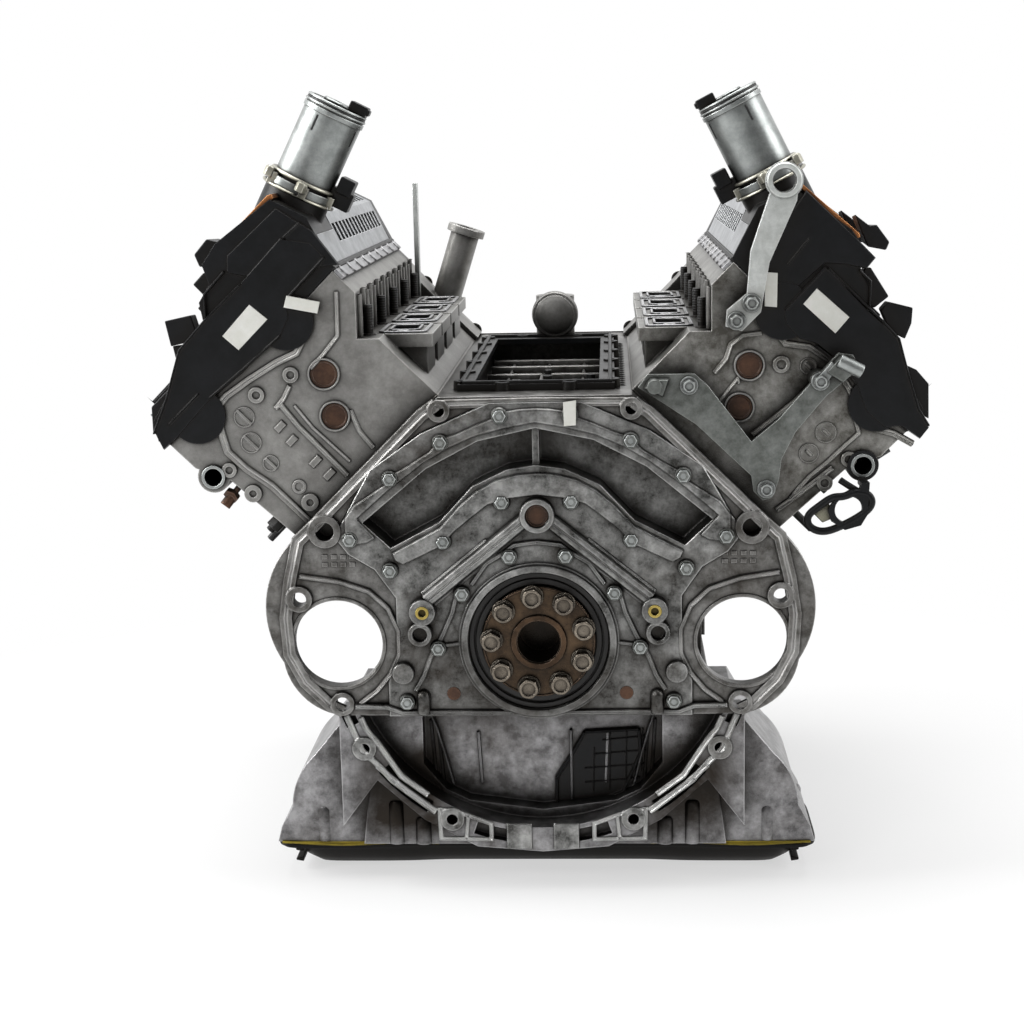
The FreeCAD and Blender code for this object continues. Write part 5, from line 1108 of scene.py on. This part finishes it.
# Manifold studs of the intake side: blackened steel, with a collar at the foot and a rolled
# thread. They stand in a row along each head.
STUD_ROW = 148.6
FIRST_STUD = 33
THREAD_PITCH = 2.4
mesh = bmesh.new()
for side in (1, -1):
    top = flange_place(side)
    for number in range(5):
        along = HEAD_FACE[side] + FIRST_STUD + BORE_PITCH * number
        ring(mesh, STUD_ROW, along, 6.6, 0, PORT_FACE - 0.4, PORT_FACE + 1.6, place=top,
             draft=0.4)
        for turn in range(9):
            low = PORT_FACE + 5 + turn * THREAD_PITCH
            ring(mesh, STUD_ROW, along, 4.5, 0, low, low + 1.4, place=top, steps=16, draft=0.4)
piece("stud_threads", mesh, "root", dark_steel, bevel=0)

# Valley frame: a black moulded frame with a raised rim that takes the gasket. Screw ears with
# steel sleeves stand along it.
mesh = bmesh.new()
rim = [(-66, 40), (-66, 430), (66, 430), (66, 40)]
ridge(mesh, rim + rim[:1], 4.0, 224.6, 228.4, place=plan, crown=0.7)
for across in (67, -67):
    for along in (52, 122, 200, 280, 360, 420):
        ring(mesh, across, along, 8.0, 3.4, 218.8, 227.2, place=plan, dish=222, draft=0.5)
for across in (-30, 30):
    for along in (39, 431):
        ring(mesh, across, along, 7.0, 3.2, 218.8, 227.0, place=plan, dish=222, draft=0.5)
piece("valley_frame_rim", mesh, "root", black_plastic, bevel=0.0006)

# Ribs of the valley tray: cast with the block. They cross the tray, and three thicker ones
# branch out from its middle.
TRAY_FLOOR = 191
tray_ribs = [([(-60, along), (60, along)], 5, 203) for along in (96, 160, 224, 288, 352, 408)]
tray_ribs += [([(across, 60), (across, 410)], 4, 199) for across in (-38, 0, 38)]
tray_ribs += [([(0, 150), end], 10, 212) for end in ((0, 214), (-34, 104), (34, 104))]
mesh = bmesh.new()
for line, width, high in tray_ribs:
    ridge(mesh, line, width, TRAY_FLOOR - 0.5, high, place=plan)
piece("valley_ribs", mesh, "root", cast_block, bevel=0.001)

# Posts in the valley tray: short turned steel pillars with a hole in the top, pressed into
# the block.
mesh = bmesh.new()
for a, along, high, radius in ((-46, 62, 224, 5), (10, 56, 230, 5), (34, 56, 226, 4.5),
                               (10, 72, 233, 4), (-20, 90, 222, 5), (48, 110, 224, 5)):
    ring(mesh, a, along, radius, radius * 0.45, TRAY_FLOOR, high, place=plan, dish=high - 4,
         steps=20, draft=0.8)
piece("valley_posts", mesh, "root", dark_steel, bevel=0.0005)

# Ribbed sealing strip along the right side of the valley: black rubber, clipped on the valley
# frame.
mesh = bmesh.new()
for step in range(24):
    along = 60 + step * 14.6
    slab(mesh, [(73, 214.5), (84, 208.5), (86, 214), (84, 218), (76, 221), (73, 219)],
         along, along + 9, place=rear, draft=0.8)
piece("valley_hose", mesh, "root", black_rubber, bevel=0.0008)


# Sump: the die cast upper half carries the lower part of the gearbox flange. The flange is a
# skeleton of milled webs, with drilled bosses and two pairs of pads at its lowest point.
sump_webs = (([(176, -70), (172, -80), (163, -103), (148, -118), (137, -131)], 6.5, 1.6),
             ([(163, -72), (158, -84), (150, -94), (128, -128), (104, -146)], 6.0, 1.6),
             ([(137, -131), (122, -143), (104, -157), (97, -162)], 7.0, 1.6),
             ([(150, -118), (132, -134)], 6.0, 1.4),
             ([(94, -158), (93, -188), (47, -189), (47, -174), (70, -165), (93, -160)], 4.5, 1.4),
             ([(68, -167), (70, -188)], 4.0, 1.4))
mesh = bmesh.new()
for web, width, rise in sump_webs:
    for line in both(web):
        ridge(mesh, line, width, 0.6, -rise, crown=0.8)
for spots in both([(161, -101.5), (82.6, -169.3)]):
    for a, b in spots:
        ring(mesh, a, b, 11.5, 5.0, 0.6, -2.0, draft=0.5)
for a in (21.5, -21.5):
    slab(mesh, oblong(a, -186, 12, 12.5), 0.6, -1.6, draft=0.8)
piece("sump_flange_webs", mesh, "root", cast_cover, bevel=0.0008)

# Bosses and ribs of the sump: cast on. Upright bosses for the pan screws stand on its two
# lobes and along its sides, and thin ribs run down from the flange.
SUMP_RIM = -202.5


def pillar(mesh, a, y, high, radius):
    """An upright boss with a rounded top that stands on the sump's rim."""
    profile = ((radius, SUMP_RIM), (radius, high - radius * 0.5),
               (radius * 0.8, high - radius * 0.1), (radius * 0.3, high))
    skin(mesh, [around(mesh, plan, a, y, reach, level, 20) for reach, level in profile])


mesh = bmesh.new()
for spots in both([(137, 28, -160), (112, 27, -176), (206, 36, -168), (232, 70, -172),
                   (238, 118, -180)]):
    for a, y, high in spots:
        pillar(mesh, a, y, high, 8)
for a in (170, -170):
    for y in (196, 262, 328, 394, 460):
        pillar(mesh, a, y, -178, 7.5)
for spots in both([(97, -100), (60, -100), (104, -88)]):
    for a, top in spots:
        ridge(mesh, [(a, top), (a * 0.96, -150)], 3.5, 46, 41)
piece("sump_bosses", mesh, "root", cast_sump, bevel=0.0008)

# Screen over the opening in the flat wall: a moulded black frame with a raised border and a
# fine lattice, which is clipped into the opening.
mesh = bmesh.new()
screen = [(88.8, -97.9), (90.2, -120.9), (73.7, -158.4), (54.2, -166.9), (11.8, -175.4),
          (12.3, -144.5), (26.3, -122.4), (38.9, -100.4)]
slab(mesh, screen, 45.0, 42.4, draft=0.6)
for first, second in zip(screen, screen[1:] + screen[:1]):
    ridge(mesh, [first, second], 3.4, 43, 38.6)
for share in (0.2, 0.4, 0.6, 0.8):
    low = -163 + 68 * share
    ridge(mesh, [(34 + 42 * abs(share - 0.3), low), (96 - 22 * max(0, 0.5 - share), low + 4)],
          1.3, 43, 40.6)
for a, low, high in ((46, -158, -116), (61, -156, -101), (76, -152, -98), (91, -138, -98)):
    ridge(mesh, [(a, low), (a + 1.5, high)], 1.3, 43, 40.6)
screen_frame = piece("sump_screen", mesh, "root", black_plastic, bevel=0.0004)
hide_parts("sump_grille")

# Flat wall of the sump behind the bell: cast with the sump. A lip runs along its top, and
# steps run down both sides.
mesh = bmesh.new()
for line in both([(0, -76), (36, -76), (40, -80), (50, -80), (54, -76), (100, -76)]):
    ridge(mesh, line, 3.6, 46, 38)
ridge(mesh, [(26, -98), (26, -165)], 3.0, 46, 38)
for line in both([(106, -74), (98, -96), (91, -122), (84, -150)]):
    ridge(mesh, line, 3.0, 46, 36)
piece("sump_wall_ribs", mesh, "root", cast_sump, bevel=0.0006)

# Screws of the oil pan: blackened steel with flanged heads. They are driven up through the
# pan's rim into the sump.
mesh = bmesh.new()
for spots in both([(245, 60), (245, 100), (245, 135), (163, 230), (163, 290), (163, 350),
                   (163, 410), (163, 470)]):
    for a, y in spots:
        skin(mesh, [around(mesh, plan, a, y, reach, low, 6)
                    for reach, low in ((7.0, -209.2), (7.0, -210.6), (5.6, -211.0),
                                       (5.6, -216.0), (4.4, -217.0))])
piece("pan_screws", mesh, "root", dark_steel, bevel=0.0004)

# Beads of the oil pan: two on each short side of its lobes. They are pressed out of the black
# painted sheet to stiffen it.
mesh = bmesh.new()
for side in (1, -1):
    for level in (-218, -228):
        skin(mesh, [[mesh.verts.new(plan(side * (232 + out), y, level + up))
                     for out, up in ((-2, -2.4), (5.4, -1.2), (5.4, 1.2), (-2, 2.4))]
                    for y in (48, 132)])
piece("pan_beads", mesh, "root", black_paint, bevel=0.001)

# Edge of the sump's yellow gasket: a bead of rubber that is squeezed out in waves along the
# rear edge of both lobes.
BEAD_HALF = 246
mesh = bmesh.new()
line = []
for step in range(61):
    a = -BEAD_HALF + step * 2 * BEAD_HALF / 60
    line.append((a, -204.5 + 1.32 * math.cos(a / 20)))
for side in (1, -1):
    ridge(mesh, [point for point in line if point[0] * side > 95], 1.6, 31, 26.5)
piece("gasket_bead", mesh, "root", yellow_rubber, bevel=0)


# Oil pan: one deep drawn sheet, painted black. Its rim is flat for the gasket, the walls lean
# in and the bottom edge is well rounded.
def pan_rim(extra):
    """Plan of the pan at one level, stepped out or in."""
    wide = 250 + extra
    slim = 168 + extra
    half = [(slim, 522 + extra), (slim, 190), (wide - 20, 150), (wide, 136 + extra),
            (wide, 44 - extra), (wide - 14, 30 - extra), (slim, 30 - extra),
            (slim - 40, 34 - extra)]
    return half + [(-a, b) for a, b in reversed(half)]


CORNER_SHARE = 0.28
CORNER_REACH = 26


def rounded(points):
    """Rounds every corner of an outline with four short steps."""
    smooth = []
    for index, here in enumerate(points):
        here = Vector(here)
        ends = []
        for neighbour in (points[index - 1], points[(index + 1) % len(points)]):
            way = Vector(neighbour) - here
            reach = min(way.length * CORNER_SHARE, CORNER_REACH)
            ends.append(here + way.normalized() * reach)
        for step in range(5):
            t = step / 4
            smooth.append(ends[0] * (1 - t) ** 2 + here * 2 * t * (1 - t) + ends[1] * t * t)
    return smooth


mesh = bmesh.new()
skin(mesh, [[mesh.verts.new(plan(a, b, level)) for a, b in rounded(pan_rim(extra))]
            for extra, level in ((-8, -205.2), (2.5, -205.2), (3, -207), (2.5, -209),
                                 (-10, -209.4), (-13, -212), (-15, -218), (-19, -226),
                                 (-26, -233), (-36, -237), (-48, -238))])
pan = piece("drawn_oil_pan", mesh, "root", black_paint, bevel=0)
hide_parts("oil_pan")


# Screws of the rear bracket and the lifting eye: plated steel with wide washer faces, driven
# into the heads and the block.
mesh = bmesh.new()
for a, b, level in ((188, 296, 6), (175, 281, 6), (201, 134, 2), (247, 228, 2), (134, 226, 2)):
    hex_head(mesh, a, b, 10, level - 0.2, level - 7.5, turn=a, washer=8.2, hollow=True)
piece("bracket_screws", mesh, "root", zinc_steel, bevel=0.0003)

# Rim of the lifting eye: forged with its arm, and worn smooth where the hoist's hook pulls
# on it.
mesh = bmesh.new()
ring(mesh, 215.4, 399, 15.6, 10.2, 6.4, 3.8, steps=48, draft=1.4)
piece("eye_rim", mesh, "root", worn_steel, bevel=0.0005)

# Bosses of the rear bracket: pressed up out of the plate round its screws. A folded clip of
# plated steel is screwed on at its outer end.
def rod(mesh, start, end, radius, steps=20):
    """A round bar between two points in metres."""
    along = (end - start).normalized()
    side = along.orthogonal().normalized() * MM
    third = along.cross(side)

    def place(a, b, centre):
        return centre + side * a + third * b

    skin(mesh, [around(mesh, place, 0, 0, radius, centre, steps) for centre in (start, end)])


mesh = bmesh.new()
slab(mesh, [(94, 224), (100, 233), (118, 233), (112, 216)], 2.2, -4.5, draft=1.5)
ring(mesh, 104, 226, 7.5, 0, 2.2, -6.5, draft=1.2)
slab(mesh, [(250, 236), (263, 250), (276, 247), (278, 237), (266, 226)], 2.2, -3.5, draft=1.2)
piece("bracket_bosses", mesh, "root", plate_steel, bevel=0.0006)
mesh = bmesh.new()
rod(mesh, rear(262, 246, -1), rear(282, 236, -1), 6.2)
slab(mesh, [(244, 232), (256, 246), (262, 240), (250, 224)], 1.0, -2.4, draft=0.4)
piece("bracket_clip", mesh, "root", zinc_steel, bevel=0.0008)

# Sensor on the outer edge of the left head: a thin stem, a threaded body and a hexagon, all
# brown with rust. It is screwed into the head.
mesh = bmesh.new()
for first, second, radius, steps in (((84.6, 287.4), (99.7, 285.9), 2.8, 18),
                                     ((99.7, 285.9), (112.1, 284.4), 5.0, 18),
                                     ((99.5, 286.7), (102.65, 286.125), 7.4, 6)):
    rod(mesh, left_bank(*first, 20), left_bank(*second, 16), radius, steps=steps)
piece("head_sensor", mesh, "root", rusty_plug, bevel=0.0005)

# Studs on the outer edges of the heads: blackened steel, screwed in. The lower one of the left
# head carries a nut.
mesh = bmesh.new()
start = left_bank(81.9, 239.8, 22)
end = left_bank(101.6, 240.1, 20)
rod(mesh, start, end, 4.0)
rod(mesh, start.lerp(end, 0.35), start.lerp(end, 0.8), 7.6, steps=6)
rod(mesh, left_bank(97.9, 316.2, 20), left_bank(97.1, 329.6, 20), 4.2)
rod(mesh, right_bank(101.2, 322.5, 38), right_bank(104.0, 335.6, 38), 5.0)
piece("head_studs", mesh, "root", dark_steel, bevel=0.0005)


# Hose loop: a black moulded ring on a stem that is clipped to the right head. A scrap of cream
# coloured foam is caught behind it.
def loop_tube(name, points, radius, paint, closed=True):
    """A round moulded rod that follows points in metres."""
    curve = bpy.data.curves.new(name, "CURVE")
    curve.dimensions = "3D"
    spline = curve.splines.new("NURBS")
    spline.points.add(len(points) - 1)
    for index, point in enumerate(points):
        spline.points[index].co = tuple(point) + (1,)
    spline.use_cyclic_u = closed
    spline.use_endpoint_u = not closed
    spline.order_u = 3
    curve.bevel_depth = radius * MM
    curve.bevel_resolution = 3
    curve.resolution_u = 8
    curve.use_fill_caps = True
    curve.materials.append(paint)
    item = bpy.data.objects.new(name, curve)
    scene.collection.objects.link(item)
    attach(item, "root")
    return item


ring_points = [right_bank(a, b, 7) for a, b in (
    (90.5, 244.2), (99.5, 238.3), (112.1, 243.8), (120.0, 261.3), (125.6, 283.0),
    (123.5, 292.8), (115.3, 295.9), (105.7, 289.5), (101.9, 279.0), (94.5, 271.8),
    (92.5, 259.5))]
loop_tube("hose_loop", ring_points, 3.4, black_plastic)
stem_points = [right_bank(a, b, 12) for a, b in ((89.6, 286.7), (99.5, 288.4), (108.8, 290.8))]
loop_tube("hose_loop_stem", stem_points, 3.0, black_plastic, closed=False)
foam = finish_of("foam_scrap", (0.62, 0.60, 0.45), (0.45, 0.43, 0.32), 0.0, 0.8, grain=0.6,
                 grain_size=300, edge_highlight_and_wear=0)
mesh = bmesh.new()
slab(mesh, [(88.7, 249.4), (92.7, 267.9), (110.4, 259.9), (106.0, 249.1)], 12, 9, place=right_bank,
     draft=0.8)
piece("loop_foam", mesh, "root", foam, bevel=0.0008)


# Exhaust side of the heads: milled lips round the outlet ports, two for each cylinder, and a
# raised joint line round each pair. They are one with the heads.
EXHAUST_FACE = 93.4
mesh = bmesh.new()
for side in (1, -1):
    bank = bank_rear(side)

    def outer_wall(a, b, level, bank=bank):
        """Points on the exhaust wall: along the engine, up the bank, out of the wall."""
        return bank(level, b, a)

    for number in range(4):
        middle = HEAD_FACE[side] + FIRST_PORT + BORE_PITCH * number
        for along in (middle - 17, middle + 17):
            ring(mesh, along, 249, 16.8, 14.4, EXHAUST_FACE, EXHAUST_FACE + 2.0,
                 place=outer_wall, dish=EXHAUST_FACE + 0.4)
        outline = oblong(middle, 249, 40, 21)
        ridge(mesh, outline + outline[:1], 2.6, EXHAUST_FACE, EXHAUST_FACE + 1.4,
              place=outer_wall)
piece("exhaust_port_lips", mesh, "root", intake_bright, bevel=0.0003)

# Ignition coils: black moulded caps pushed into the covers' seats, with a connector each. Ribs
# stiffen the covers between them, and screws with wide heads hold the edges down.
mesh = bmesh.new()
screws = bmesh.new()
for side in (1, -1):
    bank = bank_rear(side)
    start = HEAD_FACE[side]

    def cover_top(a, b, level, bank=bank):
        """Points on the cover's outer slope: across the bank, along the engine, and up."""
        return bank(a, level, b)

    for number in range(4):
        middle = start + FIRST_PORT + BORE_PITCH * number
        ring(mesh, 20, middle, 11.5, 0, 407.6, 411.5, place=cover_top, draft=1.2)
        slab(mesh, oblong(20, middle + 1, 8, 8), 411, 415, place=cover_top, draft=1.0)
        ridge(mesh, [(44, middle - 40), (98, middle - 40)], 4, 376, 398, place=cover_top)
    for step in range(8):
        along = start + 24 + step * 56
        ring(screws, 99, along, 7.0, 0, 378, 384, place=cover_top, draft=0.8)
        ring(screws, 99, along, 4.4, 2.6, 384, 389, place=cover_top, dish=386, draft=0.3)
piece("ignition_coils", mesh, "root", black_plastic, bevel=0.0008)
piece("cover_screws", screws, "root", zinc_steel, bevel=0.0004)


# Vibration damper: a black painted steel wheel on the front end of the crankshaft. Its rim has
# rolled grooves for a ribbed belt, and one large screw holds it.
def grooves(mesh, up, radius, low, high, count=6, steps=72):
    """Round ribs side by side on a wheel's rim, for a wheel on the engine's middle plane."""
    pitch = (high - low) / count
    profile = []
    for step in range(count):
        start = low + pitch * step
        profile += [(radius - 0.6, start), (radius + 1.0, start + pitch * 0.35),
                    (radius + 1.0, start + pitch * 0.65)]
    profile += [(radius - 0.6, high), (radius - 2.2, high), (radius - 2.2, low)]
    loops = [around(mesh, rear, 0, up, reach, y, steps) for reach, y in profile]
    skin(mesh, loops + loops[:1], capped=False)


mesh = bmesh.new()
grooves(mesh, 0, 78, 536, 558)
hex_head(mesh, 0, 0, 27, 563.6, 572, washer=19, hollow=True)
piece("damper_grooves", mesh, "crank", black_paint, bevel=0)

# Pulley of the water pump: pressed steel, painted black, with the same grooves. Four screws
# hold it on the pump's hub.
PUMP_UP = 128
mesh = bmesh.new()
grooves(mesh, PUMP_UP, 52, 588, 609)
for turn in (45, 135, 225, 315):
    a, b = on_circle(24, turn)
    hex_head(mesh, a, PUMP_UP + b, 10, 591.6, 596, washer=8)
piece("pump_pulley_grooves", mesh, "water_pump_rotor", black_paint, bevel=0)

# Timing cover: an aluminium casting over the lower chains. A raised flange follows its
# outline, where its screws stand.
CHEST_FACE = 522
mesh = bmesh.new()
for line in both([(0, 217), (82, 217), (149, 150), (208, 89), (147, 28), (138, 12),
                  (138, -66)]):
    ridge(mesh, line, 7, CHEST_FACE - 0.5, CHEST_FACE + 2.5, crown=0.8)
piece("timing_cover_flange", mesh, "root", cast_head, bevel=0.0006)

# Coolant neck: a cast elbow at the front of the valley. Its round end is closed by a domed
# cover that is turned at the rim.
NECK_RADIUS = 25
low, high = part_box("coolant_neck")
centre = (low[0] + high[0]) / 2 / MM
level = high[2] / MM - NECK_RADIUS
face = low[1] / MM
mesh = bmesh.new()
ring(mesh, centre, level, NECK_RADIUS + 0.6, 0, face + 9, face - 0.8, steps=48, draft=1.2)
ring(mesh, centre, level, NECK_RADIUS - 3.5, 0, face - 0.4, face - 4.0, steps=48, draft=6.0)
piece("coolant_neck_cover", mesh, "root", cast_head, bevel=0.001)

# Upper timing covers: each is screwed to its head along a raised flange, and cast ribs run
# between the flange and the lids of the cam wheels.
CAM_UP = 356
CAM_WHEEL_ROOM = 48
mesh = bmesh.new()
bolts = bmesh.new()
for side in (1, -1):
    place = bank_rear(side)
    rim = [(86, 222)]
    for centre, first in ((67, 0), (-49, 90)):
        for turn in range(first, first + 91, 15):
            a, b = on_circle(CAM_WHEEL_ROOM, turn)
            rim.append((centre + a, CAM_UP + b))
    rim += [(-95, 290), (-95, 222)]
    ridge(mesh, rim, 7, CHEST_FACE - 0.5, CHEST_FACE + 3, place=place, crown=0.8)
    for across, up in (rim[0], (103, 300), rim[3], rim[6], rim[9], rim[12], (-95, 300), rim[-1]):
        ring(mesh, across, up, 8.5, 0, CHEST_FACE - 0.5, CHEST_FACE + 4.5, place=place,
             draft=0.6)
        hex_head(bolts, across, up, 10, CHEST_FACE + 4.3, CHEST_FACE + 10, place=place,
                 turn=across, washer=6.6, hollow=True)
    for line in ([(67, 322), (60, 226)], [(-49, 322), (-52, 226)], [(36, 365), (-18, 365)],
                 [(-91, 268), (88, 268)], [(90, 334), (104, 318)], [(-72, 334), (-90, 318)]):
        ridge(mesh, line, 4, CHEST_FACE - 0.5, CHEST_FACE + 3.5, place=place)
piece("upper_cover_flanges", mesh, "root", cast_head, bevel=0.0006)
piece("upper_cover_screws", bolts, "root", zinc_steel, bevel=0.0003)

# Front wall of the sump: cast stiffening ribs that run down to the pan, and a blank machined
# boss in the middle. They are one with the upper sump.
mesh = bmesh.new()
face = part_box("upper_sump")[1][1] / MM
for rib in ([(112, -78), (124, -196)], [(52, -78), (56, -196)]):
    for line in both(rib):
        ridge(mesh, line, 5, face - 0.5, face + 5)
ridge(mesh, [(-138, -136), (138, -136)], 4, face - 0.5, face + 3.5)
ring(mesh, 0, -136, 17, 12, face - 0.5, face + 6, dish=face + 4, steps=40, draft=1)
piece("sump_front_ribs", mesh, "root", cast_sump, bevel=0.0008)
